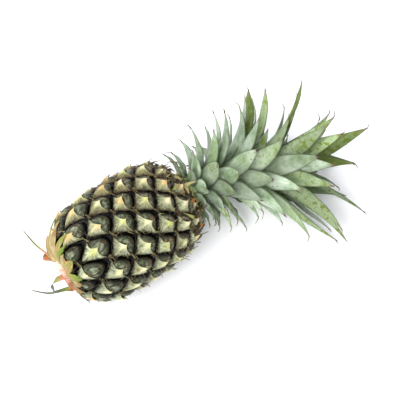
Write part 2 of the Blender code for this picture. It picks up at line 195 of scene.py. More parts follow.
def add_node(tree, kind, *values, output=None, stops=(), **named):
    """Add a node and give its output. Names in small letters are its settings, and the others inputs."""
    node = tree.nodes.new("ShaderNode" + kind)
    for name in [name for name in named if name.islower()]:
        setattr(node, name, named.pop(name))
    feed(node, *values, **named)
    for number, (position, colour) in enumerate((*stops[:1], *stops[-1:], *stops[1:-1])):
        ramp = node.color_ramp.elements
        stop = ramp[number] if number < 2 else ramp.new(position)
        stop.position, stop.color = position, linear(colour)
    return node.outputs[output] if output else next(socket for socket in node.outputs if socket.enabled)


def new_surface(name, **constants):
    """A material, its shader with the constant inputs set, a way to add nodes, and the places on a piece."""
    surface = bpy.data.materials.new(name)
    surface.use_nodes = True
    shader = surface.node_tree.nodes["Principled BSDF"]
    feed(shader, **constants)
    node = partial(add_node, surface.node_tree)
    return surface, shader, node, node("TexCoord", output="Object")


COVER = {"data_type": "RGBA"}                               # lays one colour over another
STAIN = {"data_type": "RGBA", "blend_type": "MULTIPLY"}     # or darkens it with that

# Waxed green rind: dark, glossy domes, brown in blotches and on the young eyes by the crown, with tan sepal seams.
# The domes darken towards their outlines and pale towards the eye's middle, partly in the rind's own colour and
# partly as painted shade towards the grooves and a painted sheen in the middle; the grooves are painted shade.
SKIN_NUMBERS = ("inward", "lift", "youth", "seam")
rind, shader, node, place = new_surface("waxed_green_rind", Specular_IOR_Level=0.2, IOR=1.45)
inward, lift, youth, seam = (node("Attribute", output="Fac", attribute_name=name) for name in SKIN_NUMBERS)
mottle = node("TexNoise", Vector=place, Scale=1 / 0.0035, Detail=4.0, Roughness=0.6)
speckle = node("TexNoise", Vector=place, Scale=1 / 0.0009, Detail=3.0, Roughness=0.7)
blotch = node("TexNoise", Vector=place, Scale=1 / 0.0100, Detail=3.0, Roughness=0.6)
bronzed = node("Math", blotch, 2.6, -1.2, operation="MULTIPLY_ADD")
bronzed = node("Math", bronzed, youth, operation="ADD", use_clamp=True)
mottled_shading = node("Math", mottle, 0.42, -0.21, operation="MULTIPLY_ADD")
mottled_shading = node("Math", mottled_shading, inward, operation="ADD")
# painted shade and sheen: the domes run from near-black at the outline to pale in the middle, partly their own
# colour
old = node("ValToRGB", mottled_shading, stops=(
    (0.05, "#0B0D07"), (0.15, "#181C0D"), (0.23, "#39402B"), (0.33, "#7C856D"), (0.44, "#BAC2A8")))
young = node("ValToRGB", mottled_shading, stops=(
    (0.05, "#110C08"), (0.15, "#1F180F"), (0.23, "#42382B"), (0.33, "#817464"), (0.44, "#B8AC94")))
domes = node("Mix", bronzed, old, young, **COVER)
flecks = node("ValToRGB", speckle, stops=((0.52, "#000000"), (0.64, "#FFFFFF")))
fleck_share = node("Math", flecks, 0.45, operation="MULTIPLY")
flecked = node("Mix", fleck_share, domes, "#7E7F5F", **COVER)
seam_edge = node("MapRange", Value=mottle, From_Min=0.38, From_Max=0.58)
seam_share = node("Math", seam, seam_edge, operation="MULTIPLY")
seamed = node("Mix", seam_share, flecked, "#7A5238", **COVER)
# painted shade: the rind darkens to near-black brown down into the grooves, where shade falls
grooves = node("ValToRGB", lift, stops=((0.05, "#3A3018"), (0.30, "#4E4528"), (0.70, "#FFFFFF")))
pores = node("Bump", Height=speckle, Strength=0.35, Distance=0.0003)
feed(shader, Base_Color=node("Mix", 1.0, seamed, grooves, **STAIN),
     Roughness=node("MapRange", Value=speckle, To_Min=0.22, To_Max=0.48),
     Normal=node("Bump", Height=mottle, Strength=0.5, Distance=0.0008, Normal=pores))


def rounded_edge(across, along, crown_round, side_round):
    """Distance to an eye's outline, whose crown-side corner and two side corners are rounded."""
    outer, inner = np.minimum(across, along), np.minimum(1.0 - across, 1.0 - along)
    edge = np.minimum(outer, inner)
    for first, second, size in ((1.0 - across, 1.0 - along, crown_round), (across, 1.0 - along, side_round),
                                (1.0 - across, along, side_round)):
        near_first, near_second = np.maximum(size - first, 0.0), np.maximum(size - second, 0.0)
        edge = np.minimum(edge, size - np.hypot(near_first, near_second))
    return edge


def sepal_relief(eye, across, along):
    """Height of the rind on an eye, its colour's shading (partly its own colour, partly painted shade and sheen),
    its rounded shoulder and the seam of its sepals.
    """
    basal = toward_stalk(eye)
    edge = rounded_edge(across, along, 0.48 + 0.04 * basal, 0.24 + 0.07 * basal)
    inside = np.clip((edge - GROOVE_MARGIN) / GROOVE_SHOULDER, 0.0, 1.0)
    height = -GROOVE_DEPTH * (1.0 - np.sqrt(1.0 - (1.0 - inside) ** 2))
    sideways, onwards = across - 0.54, along - 0.54
    reach = np.hypot(sideways, onwards)
    bearing = np.arctan2(onwards, sideways) - math.pi / 4      # 0 towards the crown
    bearing = np.abs(np.arctan2(np.sin(bearing), np.cos(bearing)))
    crownward = smooth_step((2.3 - bearing) / 0.7)
    seam = np.exp(-(sideways - onwards) ** 2 / 0.0016) * smooth_step((across + along - 1.2) / 0.1)
    dome = np.exp(-(reach / 0.33) ** 4) * crownward
    height = height + dome * (1.0 - 0.35 * seam * (1.0 - basal)) * DOME_RISE
    crease = np.exp(-((reach - 0.22) / 0.030) ** 2) * crownward * basal
    height -= CREASE_DEPTH * crease
    # painted shade: darker towards the outline, in the crease ring and along the seam, partly the rind's own
    # colour
    shade = edge - 0.20 * crease - 0.05 * seam * (1.0 - basal)
    return height, shade, inside, seam * (1.0 - 0.7 * basal)


eyes = np.arange(FIRST_EYE, LAST_EYE + ACROSS_STEP + ALONG_STEP + 1)
cells = np.arange(SKIN_CELLS)
eye_grid, across_grid, along_grid = np.meshgrid(eyes.astype(float), cells / SKIN_CELLS, cells / SKIN_CELLS,
                                                indexing="ij")
relief, shades, insides, seams = sepal_relief(eye_grid, across_grid, along_grid)
skin_points = on_fruit(eye_grid, across_grid, along_grid, relief).reshape(-1, 3)
eye_ids, rows, columns = np.meshgrid(eyes[:-ACROSS_STEP - ALONG_STEP] - FIRST_EYE, cells, cells, indexing="ij")


def skin_corner(row, column):
    """Number of the point at a crossing, which belongs to the next eye where it is on the far edge."""
    owner = eye_ids + ACROSS_STEP * (row == SKIN_CELLS) + ALONG_STEP * (column == SKIN_CELLS)
    return ((owner * SKIN_CELLS + row % SKIN_CELLS) * SKIN_CELLS + column % SKIN_CELLS).ravel()


skin_faces = np.stack((skin_corner(rows, columns), skin_corner(rows + 1, columns),
                       skin_corner(rows + 1, columns + 1), skin_corner(rows, columns + 1)), -1)
used = np.unique(skin_faces)
renumber = np.full(len(skin_points), -1)
renumber[used] = np.arange(len(used))
skin_numbers = (shades, insides, smooth_step((eye_grid + 5.0) / 60.0), seams)
fruit_skin = make_piece("fruit_skin", skin_points[used], renumber[skin_faces], rind,
                        {name: values.ravel()[used] for name, values in zip(SKIN_NUMBERS, skin_numbers)})
skin = bmesh.new()
skin.from_mesh(fruit_skin.data)
for end in (STALK_FLAT, FRUIT_LENGTH - CROWN_FLAT):
    rim = [edge for edge in skin.edges if edge.is_boundary]
    rim = [edge for edge in rim if abs(edge.verts[0].co.x + REST_PLACE - end) < FRUIT_LENGTH / 2]
    middle = skin.verts.new(on_axis(end))
    for edge in rim:
        skin.faces.new((edge.verts[0], edge.verts[1], middle))
bmesh.ops.recalc_face_normals(skin, faces=skin.faces)
skin.to_mesh(fruit_skin.data)
skin.free()
fruit_skin.data.shade_smooth()
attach(fruit_skin, "root")
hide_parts("fruit")


# Bracts: each eye's papery bract covers its stalk side like a four-pointed star, from the two side
# corners and the stalk-side corner to a pointed tip over the eye's middle. Grey-green parchment with
# cream ribs, it has dried in place on the rind, so its rim stands free over the grooves.
BRACT_SEED = 3000
BRACT_ACROSS = 30          # strips round the rim
BRACT_DEEP = 9             # and from the rim to the tip
BRACT_THICKNESS = 0.0006
RIM_DROP = 0.0034          # from a bract's face down to its rim
KEEL_RISE = 0.0006         # of a bract's middle rib, of the ribs along its arms and of its middle
ARM_RISE = 0.0005
MIDDLE_RISE = 0.0024
FACE_RISE = 0.0007         # of its face over the rind, and of its tip over that
TIP_OVER = 0.0018
SUN_SIDE = math.radians(80)     # the side of the fruit that dried browner, round its axis from the top

# Dried bract paper: matt and fibrous, streaked from the tip to the rim, with dark hair-lines that run in from a
# dark rim, and a cream, yellow or orange tip. The rim's darkness is partly the paper's own colour and partly
# painted shade where it curves down to the grooves, and a painted shadow line runs along the star's inner edges.
BRACT_NUMBERS = ("rib", "tip", "rim", "skirt", "tone", "blush", "browned")
paper, shader, node, place = new_surface("dried_bract_paper", Specular_IOR_Level=0.35, IOR=1.45)
rib, tip, rim, skirt, tone, blush, browned = (
    node("Attribute", output="Fac", attribute_name=name) for name in BRACT_NUMBERS)
fan = node("Mapping", Vector=node("UVMap", uv_map="fan"), Scale=(34.0, 2.2, 1.0))
streaks = node("TexNoise", Vector=fan, Scale=1.0, Detail=3.0, Roughness=0.6)
patches = node("TexNoise", Vector=place, Scale=1 / 0.0060, Detail=4.0, Roughness=0.6)
grit = node("TexNoise", Vector=place, Scale=1 / 0.0008, Detail=2.0, Roughness=0.7)
striped = node("ValToRGB", streaks, stops=(
    (0.28, "#4C5340"), (0.40, "#8D957F"), (0.54, "#B8BFAA"), (0.72, "#CBD2BF")))
weathered = node("ValToRGB", patches, stops=(
    (0.34, "#94947A"), (0.43, "#CAD2AE"), (0.51, "#FFFFFF"), (0.64, "#EEECDA")))
aged = node("Mix", 0.8, striped, weathered, **STAIN)
gritty = node("ValToRGB", grit, stops=((0.36, "#80806A"), (0.48, "#DADACC"), (0.60, "#FFFFFF")))
grainy = node("Mix", 0.75, aged, gritty, **STAIN)
sunned = node("Mix", browned, grainy, "#C8BA92", **STAIN)
toned = node("HueSaturation", Color=sunned, Value=node("MapRange", Value=tone, To_Min=0.90, To_Max=1.50))
ribbed = node("Mix", rib, toned, "#DEDF9E", **COVER)
flushed = node("Math", grit, 0.9, -0.45, operation="MULTIPLY_ADD")
flushed = node("Math", flushed, blush, operation="ADD")
tip_colour = node("ValToRGB", flushed, stops=(
    (0.0, "#AEB450"), (0.20, "#CFD088"), (0.42, "#E4E0B4"), (0.62, "#EADDB6"), (0.80, "#E3B46A"),
    (1.0, "#D97C3C")))
tipped = node("Mix", tip, ribbed, tip_colour, **COVER)
lines_here = node("MapRange", Value=streaks, From_Min=0.34, From_Max=0.52, To_Min=1.0, To_Max=0.0)
lines_here = node("Math", lines_here, skirt, rim, operation="MULTIPLY_ADD", use_clamp=True)
# partly painted shade: the dark rim colour is partly the paper's own and partly shade
rim_colour_and_shade = node("Mix", browned, "#34371F", "#3D2C20", **COVER)
grain = node("Bump", Height=grit, Strength=0.3, Distance=0.0003)
feed(shader, Base_Color=node("Mix", lines_here, tipped, rim_colour_and_shade, **COVER),
     Roughness=node("MapRange", Value=patches, To_Min=0.50, To_Max=0.75),
     Normal=node("Bump", Height=streaks, Strength=0.8, Distance=0.0007, Normal=grain))


def bract_lines(draw, basal):
    """Fractions across and along an eye of its bract's grid, from rim to tip, its middle and its tip."""
    middle = np.array((0.47 + draw.uniform(-0.05, 0.05), 0.46 + draw.uniform(-0.05, 0.05))) - 0.09 * basal
    reach, swing = draw.uniform(0.13, 0.29) - 0.06 * basal, math.pi / 4 + draw.uniform(-0.55, 0.55)
    apex = middle + reach * np.array((math.cos(swing), math.sin(swing)))
    round_rim = np.linspace(0.0, 1.0, BRACT_ACROSS + 1)
    half = np.abs(round_rim - 0.5) * 2.0          # 1 at the side corners, 0 at the stalk-side one
    ragged = 0.022 * np.sin(round_rim * 29.0 + draw.uniform(0, 6))
    ragged = ragged + 0.018 * np.sin(round_rim * 71.0 + draw.uniform(0, 6))
    inset = 0.030 + ragged * np.sin(np.pi * round_rim) + 0.06 * half ** 2 * (1.0 - half)
    corner = np.exp(-(half / 0.12) ** 2) * 0.035   # the stalk-side corner is rounded
    before = round_rim < 0.5
    rim = np.stack((np.where(before, inset, half) + corner, np.where(before, half, inset) + corner), -1)
    left, right = 0.12 * basal - draw.uniform(0.12, 0.28), 0.12 * basal - draw.uniform(0.12, 0.28)
    before = before[:, None]
    side = np.where(before, np.array((0.0, 1.0)), np.array((1.0, 0.0)))
    pull = np.where(before, middle + np.array((left, 0.02)), middle + np.array((0.02, right)))
    run = (1.0 - half)[:, None]
    inner = (1 - run) ** 2 * side + 2 * run * (1 - run) * pull + run ** 2 * apex
    steps = np.linspace(0.0, 1.0, BRACT_DEEP + 1)[None, :, None]
    return rim[:, None, :] + (inner - rim)[:, None, :] * steps, middle, apex


def bract_relief(lines, middle, apex, rise):
    """Height of a bract's face over the eye, and how much of a rib, tip, rim (dark, partly its own colour and
    partly painted shade) and skirt it is there.
    """
    across, along = lines[..., 0], lines[..., 1]
    edge = np.minimum(np.minimum(across, along), np.minimum(1.0 - across, 1.0 - along))
    inside = np.clip(edge / 0.18, 0.0, 1.0)
    reach = np.hypot(across - middle[0], along - middle[1])
    to_tip = np.hypot(across - apex[0], along - apex[1])
    bearing = np.arctan2(along - middle[1], across - middle[0])
    down = -middle / np.hypot(*middle)
    forward = (across - middle[0]) * down[0] + (along - middle[1]) * down[1]
    beside = np.abs((across - middle[0]) * down[1] - (along - middle[1]) * down[0])
    near = np.exp(-(reach / 0.40) ** 2)
    keel = np.exp(-(beside / (0.03 + 0.10 * np.clip(0.4 - forward, 0.0, 1.0))) ** 2) * near
    deep = np.linspace(0.0, 1.0, BRACT_DEEP + 1)[None, :] * np.ones_like(reach)
    arms = np.exp(-((1.0 - deep) / 0.13) ** 2) * near
    ribs = np.clip(np.maximum(0.60 * keel, arms) * 0.85, 0.0, 1.0)
    tip = np.exp(-(np.minimum(reach / 0.13, to_tip / 0.10)) ** 2)
    height = -RIM_DROP * (1.0 - inside) ** 2 + FACE_RISE + (KEEL_RISE * keel + ARM_RISE * arms) * inside
    height += rise * np.exp(-(to_tip / 0.13) ** 1.4) + MIDDLE_RISE * np.exp(-(reach / 0.26) ** 2)
    # painted shade: the rim darkens where the bract curves down to the groove, partly its own colour, and a
    # painted shadow line follows its inner edges
    rim = np.clip(1.2 - edge / 0.14, 0.0, 1.0) ** 1.4
    inner_edge_shadow = np.clip(1.0 - (1.0 - deep) / 0.09, 0.0, 1.0) * smooth_step((reach - 0.12) / 0.15)
    return height, [ribs, tip, np.maximum(rim, 0.8 * inner_edge_shadow), np.clip(1.0 - edge / 0.36, 0.0, 1.0)], reach, bearing


def shell(rows, columns):
    """Faces of a closed sheet: an upper and a lower grid of points, joined round the rim."""
    count = rows * columns
    grid = np.arange(count).reshape(rows, columns)
    upper = np.stack((grid[:-1, :-1], grid[1:, :-1], grid[1:, 1:], grid[:-1, 1:]), -1).reshape(-1, 4)
    edge = np.concatenate((grid[0], grid[1:, -1], grid[-1, -2::-1], grid[-2:0:-1, 0]))
    after = np.roll(edge, -1)
    sides = np.stack((edge, after, after + count, edge + count), -1)
    return np.concatenate((upper, upper[:, ::-1] + count, sides))


def repeat(faces, count):
    """The faces of a number of like meshes, one after the other."""
    return np.concatenate([faces + (faces.max() + 1) * number for number in range(count)])


bract_points, bract_numbers, bract_fans, bract_tips = [], [], [], []
for eye in range(FIRST_EYE + 8, LAST_EYE - 2):      # the last eyes at the two ends have none
    draw = random.Random(BRACT_SEED + eye)
    basal = float(toward_stalk(eye))
    over_eye = partial(on_fruit, float(eye))
    lines, middle, apex = bract_lines(draw, basal)
    rise = 0.0010 + draw.uniform(-0.0006, 0.0014)
    height, numbers, reach, bearing = bract_relief(lines, middle, apex, rise)
    for face_height in (height, height - BRACT_THICKNESS):
        bract_points.append(over_eye(lines[..., 0], lines[..., 1], face_height).reshape(-1, 3))
    tone_here, blush_here = draw.random(), draw.random()
    blush_here *= 0.75 + 0.25 * basal
    sun = float(smooth_step((math.cos(SPIRAL_START + GOLDEN_ANGLE * eye - SUN_SIDE) + 0.1) / 0.9))
    browned_here = min(sun * draw.uniform(0.35, 1.0) + 0.3 * draw.random() ** 2 + 0.35 * (1.0 - basal) ** 2, 1.0)
    blush_here = min(blush_here + 0.55 * sun * draw.random(), 1.0)
    numbers += [np.full_like(reach, value) for value in (tone_here, blush_here, browned_here)]
    bract_numbers += [np.stack(numbers, -1).reshape(-1, len(BRACT_NUMBERS))] * 2
    bract_fans += [np.stack((bearing / math.pi + eye, reach + 0.37 * eye), -1).reshape(-1, 2)] * 2
    on_top, beyond, above = (over_eye(apex[0] + ahead, apex[1] + ahead, rise + over)
                             for ahead, over in ((0.0, TIP_OVER), (0.2, TIP_OVER), (0.0, TIP_OVER + 0.0050)))
    crownward, outward = Vector(beyond - on_top).normalized(), Vector(above - on_top).normalized()
    bract_tips.append((eye, Vector(on_top), crownward, outward))
bract_scales = make_piece(
    "bract_scales", np.concatenate(bract_points), repeat(shell(BRACT_ACROSS + 1, BRACT_DEEP + 1), len(bract_tips)),
    paper, dict(zip(BRACT_NUMBERS, np.concatenate(bract_numbers).T)), {"fan": np.concatenate(bract_fans)})
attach(bract_scales, "root")


# Dry tips: most bracts end in a brittle, hair-like point that has dried to straw and brown, bent any
# way. Finer loose fibres have frayed from the bracts' rims and from their side corners.
TIP_SEED = 5000
FIBRE_END = 0.00012        # radius of a fibre's end
FRINGE_COUNT = 6           # loose fibres round an eye's rim
# Where two fibres leave each side corner, across and along the eye, and which way they go on
ARM_ENDS = ((0.94, 0.05, 1.0, -1.0), (0.05, 0.94, -1.0, 1.0)) * 2
STRAND_SIDES = 5
TIP_FLATNESS = 0.6

# Dried leaf fibre: dull and brittle, from near-black through straw to rust, greyer at its end.
dry_fibre, shader, node, place = new_surface("dried_leaf_fibre", Specular_IOR_Level=0.3, IOR=1.45, Roughness=0.75)
tone, part = (node("Attribute", output="Fac", attribute_name=name) for name in ("tone", "part"))
specks = node("TexNoise", Vector=place, Scale=1 / 0.0015, Detail=3.0)
straw = node("ValToRGB", tone, stops=(
    (0.0, "#2F2420"), (0.22, "#5A4530"), (0.40, "#8F7D50"), (0.58, "#B9AE78"), (0.74, "#A6A860"),
    (0.88, "#AC7840"), (1.0, "#A0602F")))
ends = node("Mix", part, straw, "#5E5444", **COVER)
spotted = node("Mix", specks, "#8C8270", "#FFFFFF", **COVER)
feed(shader, Base_Color=node("Mix", 0.6, ends, spotted, **STAIN),
     Normal=node("Bump", Height=specks, Strength=0.4, Distance=0.0003))


def tube(rings, sides):
    """Faces of a closed tube of rings of points, with a flat face over each end."""
    faces = []
    for low in range(0, (rings - 1) * sides, sides):
        for side in range(sides):
            after = (side + 1) % sides
            faces.append((low + side, low + after, low + sides + after, low + sides + side))
    last = (rings - 1) * sides
    return faces + [tuple(range(sides))[::-1], tuple(range(last, last + sides))]


def add_strand(kept, route, radius, end_radius, tone_here, parts, fits, flatness=1.0):
    """Add a thin, tapered, closed strand to those kept, if all of its points fit. How dry its first
    ring of points is and how much drier each next one is are its parts."""
    made = []
    for number, point in enumerate(route):
        ahead = route[min(number + 1, len(route) - 1)] - route[max(number - 1, 0)]
        first = ahead.orthogonal().normalized()
        second = ahead.cross(first).normalized()
        size = radius + (end_radius - radius) * (number / (len(route) - 1))
        for side in range(STRAND_SIDES):
            angle = 2.0 * math.pi * side / STRAND_SIDES
            made.append(point + (first * math.cos(angle) + second * math.sin(angle) * flatness) * size)
    if all(fits(point) for point in made):
        start = len(kept["points"])
        kept["faces"] += [tuple(index + start for index in face) for face in tube(len(route), STRAND_SIDES)]
        kept["points"] += made
        kept["numbers"]["tone"] += [tone_here] * len(made)
        kept["numbers"]["part"] += [min(1.0, parts[0] + parts[1] * (k // STRAND_SIDES)) for k in range(len(made))]


def curled(start, heading, curl, length, shares):
    """Points along a fibre that leaves its root straight and curls more and more."""
    return [start + heading * length * share + curl * length * share ** 2 for share in shares]


tips = {"points": [], "faces": [], "numbers": {"tone": [], "part": []}}
add_tip = partial(add_strand, tips, end_radius=FIBRE_END, parts=(0.0, 0.2), fits=lambda point: point.z >= 0.0)
for eye, root, crownward, outward in bract_tips:
    draw = random.Random(TIP_SEED + eye)
    over_eye = partial(on_fruit, float(eye))
    young_here = 1.0 - float(toward_stalk(eye))
    for strand in range(1 + (draw.random() < 0.7)):
        lean = draw.uniform(0.15, 0.9)
        side = crownward.cross(outward) * draw.uniform(-0.5, 0.5)
        heading = (outward * lean + crownward * (1.1 - lean) + side).normalized()
        curl = (outward * draw.uniform(-0.9, 0.6) + side * 2.0) * 0.5
        route = [root - outward * 0.0012 - heading * 0.0010]
        route += curled(root, heading, curl, draw.uniform(0.0022, 0.0066), (0.2, 0.4, 0.6, 0.8, 1.0))
        add_tip(route, draw.uniform(0.00032, 0.00065), tone_here=draw.uniform(0.1, 0.95), flatness=TIP_FLATNESS)
    for strand in range(FRINGE_COUNT + int(9 * young_here)):
        across, along = draw.uniform(0.02, 0.16), draw.uniform(0.0, 1.0)
        if draw.random() < 0.5:
            across, along = along, across
        start = Vector(over_eye(across, along, draw.uniform(-0.0008, 0.0008)))
        toward = Vector(over_eye(across + draw.uniform(-0.3, 0.3), along + draw.uniform(-0.3, 0.3),
                                 draw.uniform(0.0005, 0.0040)))
        heading = (toward - start).normalized()
        curl = (outward * draw.uniform(-0.5, 0.7) + crownward.cross(outward) * draw.uniform(-1.0, 1.0)) * 0.6
        length = draw.uniform(0.0020, 0.0056) * (1.0 + 0.3 * young_here)
        add_tip(curled(start, heading, curl, length, (-0.2, 0.2, 0.4, 0.6, 0.8, 1.0)),
                draw.uniform(0.00024, 0.00048), flatness=TIP_FLATNESS,
                tone_here=draw.choice((0.02, 0.08, 0.15, 0.25, 0.38, 0.48, 0.72)))
    for across, along, aside, ahead in ARM_ENDS:
        across, along = across + draw.uniform(-0.05, 0.05), along + draw.uniform(-0.05, 0.05)
        reach = draw.uniform(0.5, 1.3)
        route = [Vector(over_eye(across + aside * share * reach, along + ahead * share * reach + 1.6 * share ** 2,
                                 0.0002 + 0.0040 * share)) for share in (-0.08, 0.0, 0.05, 0.10, 0.14, 0.18)]
        add_tip(route, draw.uniform(0.00018, 0.00036), flatness=0.8,
                tone_here=draw.choice((0.1, 0.2, 0.35, 0.45, 0.6, 0.72)))
dry_tips = make_piece("dry_tips", surface=dry_fibre, **tips)
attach(dry_tips, "root")


# Crown: a short stem in a hundred leaves, low ones small and bent back, inner ones long and upright.
# Each leaf is one tough, channelled blade with a powdery bloom outside, small teeth on its edges and
# a thin dry point, and grows straight from the stem.
TOUCHING_GAP = 0.0003      # between pieces that sit on each other
CROWN_SIDE = math.radians(17.0)      # the crown bends towards -Y and down
CROWN_DROOP = math.radians(6.0)
BEND_LENGTH = 0.030
STEM_RADIUS = 0.0190
STEM_TOP_RADIUS = 0.0080
STEM_LENGTH = 0.1000
LEAF_COUNT = 100
LEAF_SEED = 600
LEAF_TURN = math.radians(258.0)
FIRST_LEAF = 0.004         # height of the lowest leaf, and from there to the innermost, on the stem
LEAF_SPREAD = 0.945
LEAF_CROWDING = 1.2
# Leaves that stand out from the rule: how much longer, and how much further out and round in degrees
LEAF_QUIRKS = {4: (1.2, -6, 0), 9: (1.0, 10, 0), 13: (1.0, -6, 0), 18: (0.95, 0, -14), 22: (1.1, 3, 0),
               26: (0.7, 12, -14), 27: (1.1, -6, 14), 29: (0.7, 0, 0), 31: (0.8, -6, 0), 34: (0.7, -6, -7),
               35: (1.2, 3, 0), 38: (1.0, 6, -14), 39: (0.9, 3, 0), 42: (0.8, -12, 0), 43: (1.2, -3, 0),
               46: (1.1, 0, -14), 47: (0.7, -12, 0), 48: (1.1, 0, 0), 51: (1.15, 0, -7), 55: (0.9, 3, 0),
               56: (0.85, 14, 0), 59: (1.0, 0, -14), 61: (0.7, 0, 0), 63: (1.05, 10, -7),
               67: (1.1, 12, -14), 68: (1.25, 10, 0), 69: (0.8, -6, 0), 72: (0.8, 12, 0), 73: (1.0, 6, 0),
               76: (1.25, 3, 0), 77: (1.1, 0, 0), 81: (1.1, 12, 7), 82: (1.0, 0, -7), 84: (1.1, 12, -14),
               86: (1.1, 6, 0), 87: (1.0, 0, 14), 88: (0.8, 0, 0), 89: (1.2, 0, -7), 94: (0.9, 0, 0),
               95: (1.2, 0, -7), 98: (0.8, 0, 0)}
LEAF_ROOT = 0.0040         # how deep a leaf's root is sunk in the stem
LEAF_STEPS = 6
LEAF_CHANNEL = 0.16        # depth of a leaf's channel, as a part of its width
FLOOR_CLEARANCE = 0.0010
FLOOR_REACH = 0.022        # height over which a drooping leaf levels out above the table
CROWN_BASE = on_axis(FRUIT_LENGTH - CROWN_FLAT + TOUCHING_GAP)


def crown_frame(height):
    """A point on the stem's middle and its axes: along the stem, and two across, the first upwards."""
    straight = Vector((1.0, 0.0, 0.0))
    bent = Vector((1.0, -math.tan(CROWN_SIDE), -math.tan(CROWN_DROOP))).normalized()
    part = min(height / BEND_LENGTH, 1.0)
    length = straight.lerp(bent, part).normalized()
    bend_part = part * min(height, BEND_LENGTH) / 2
    point = CROWN_BASE + straight * (min(height, BEND_LENGTH) - bend_part) + bent * bend_part
    point += bent * max(height - BEND_LENGTH, 0.0)
    sideways = Vector((0.0, 0.0, 1.0)).cross(length).normalized()
    return point, length, length.cross(sideways), sideways


def stem_radius(height):
    """Radius of the crown's stem, which narrows upwards."""
    return STEM_RADIUS + (STEM_TOP_RADIUS - STEM_RADIUS) * height / STEM_LENGTH


def leaf_shape(leaf):
    """Where a leaf grows and how it is shaped, from the outer leaves to the inner ones."""
    draw = random.Random(LEAF_SEED + leaf)
    part = FIRST_LEAF + LEAF_SPREAD * (leaf / (LEAF_COUNT - 1)) ** LEAF_CROWDING
    longer, further, around = LEAF_QUIRKS.get(leaf, (1.0, 0.0, 0.0))
    turn = LEAF_TURN + GOLDEN_ANGLE * leaf + math.radians(around) + draw.uniform(-0.10, 0.10)
    lean = 95.0 + further - 60.0 * part ** 0.6 - 26.0 * float(smooth_step((part - 0.78) / 0.2))
    lean += draw.uniform(-5.0, 5.0)
    curl = 19.0 - 3.0 * part + draw.uniform(-6.0, 8.0)
    sweep = draw.uniform(-8.0, 8.0)
    length = 0.026 + 0.128 * min(part, 0.62) + draw.uniform(-0.006, 0.006) * min(1.0, 0.4 + 2.0 * part)
    width = 0.0130 + 0.0090 * float(smooth_step(part / 0.12)) + 0.0015 * math.sin(math.pi * part)
    return {"part": part, "height": STEM_LENGTH * part, "turn": turn, "lean": math.radians(lean),
            "curl": math.radians(curl), "sweep": math.radians(sweep), "length": longer * length, "width": width}


def leaf_width(part):
    """Width of a leaf along its length, as a part of its widest: broad below, with a long point."""
    return (0.70 + 1.3 * part * (1.0 - 0.6 * part)) * (1.0 - part ** 2.4) if part < 1.0 else 0.0


def leaf_spine(shape):
    """Stations down a leaf's middle: a point, the direction across and the inner face."""
    middle, length, upwards, sideways = crown_frame(shape["height"])
    outwards = math.cos(shape["turn"]) * upwards + math.sin(shape["turn"]) * sideways
    tangent = length.cross(outwards)
    point = middle + outwards * (stem_radius(shape["height"]) - LEAF_ROOT)
    spine = []
    for step in range(LEAF_STEPS + 1):
        part = step / LEAF_STEPS
        lean = shape["lean"] - math.radians(24.0) * (1.0 - part) ** 2 + shape["curl"] * part ** 2
        along = length * math.cos(lean) + outwards * math.sin(lean)
        along = (along + tangent * math.tan(shape["sweep"]) * part).normalized()
        low_edge = abs(tangent.z) * shape["width"] * leaf_width(part) / 2
        steepest = (FLOOR_CLEARANCE + low_edge - point.z) / FLOOR_REACH
        if along.z < steepest:
            level = Vector((along.x + 0.25, along.y, 0.0)).normalized()
            along = level * math.sqrt(1.0 - steepest * steepest) + Vector((0.0, 0.0, steepest))
        inner = along.cross(tangent).normalized()
        spine.append((point.copy(), inner.cross(along).normalized(), inner))
        point = point + along * shape["length"] / LEAF_STEPS
    return spine


def curve_point(points, part):
    """A point on a smooth curve through a few points, at a fraction of its length."""
    spans = len(points) - 1
    span = min(int(part * spans), spans - 1)
    share = part * spans - span
    before = points[max(span - 1, 0)]
    low, high = points[span], points[span + 1]
    after = points[min(span + 2, spans)]
    pull, push = (high - before) / 2, (after - low) / 2
    return (low * (2 * share ** 3 - 3 * share ** 2 + 1) + pull * (share ** 3 - 2 * share ** 2 + share)
            + high * (3 * share ** 2 - 2 * share ** 3) + push * (share ** 3 - share ** 2))


# Living leaf: sage under a powdery bloom outside, darker and greener inside, with fine veins along it, a thin dark
# edge that is partly its own margin and partly painted shade, yellow-green towards the point, and bruises and dry
# specks.
# Painted shade also darkens each leaf's foot where the leaves overlap, and the leaves on the far side.
LEAF_NUMBERS = ("part", "ripe", "dark", "edge", "inside", "tone")
leaf_blade, shader, node, place = new_surface("glaucous_pineapple_leaf", Specular_IOR_Level=0.4, IOR=1.45)
part, ripe, dark, edge, inside, tone = (
    node("Attribute", output="Fac", attribute_name=name) for name in LEAF_NUMBERS)
blade_map = node("Mapping", Vector=node("UVMap", uv_map="blade"), Scale=(1.0, 0.035, 1.0))
veins = node("TexNoise", Vector=blade_map, Scale=1 / 0.0009, Detail=2.0, Roughness=0.5)
bloom = node("TexNoise", Vector=place, Scale=1 / 0.0180, Detail=5.0, Roughness=0.6)
bruises = node("TexNoise", Vector=place, Scale=1 / 0.0070, Detail=4.0, Roughness=0.6, Distortion=0.4)
specks = node("TexVoronoi", Vector=place, Scale=1 / 0.0050, Randomness=1.0)
outer = node("ValToRGB", bloom, stops=((0.26, "#627852"), (0.42, "#8FA484"), (0.57, "#B6C5AE"), (0.74, "#CDD7C7")))
inner = node("ValToRGB", bloom, stops=((0.28, "#37502F"), (0.50, "#58714C"), (0.74, "#7F9770")))
faces_mix = node("Mix", inside, outer, inner, **COVER)
veined = node("ValToRGB", veins, stops=((0.30, "#C9D1C2"), (0.62, "#FFFFFF")))
veined = node("Mix", 0.7, faces_mix, veined, **STAIN)
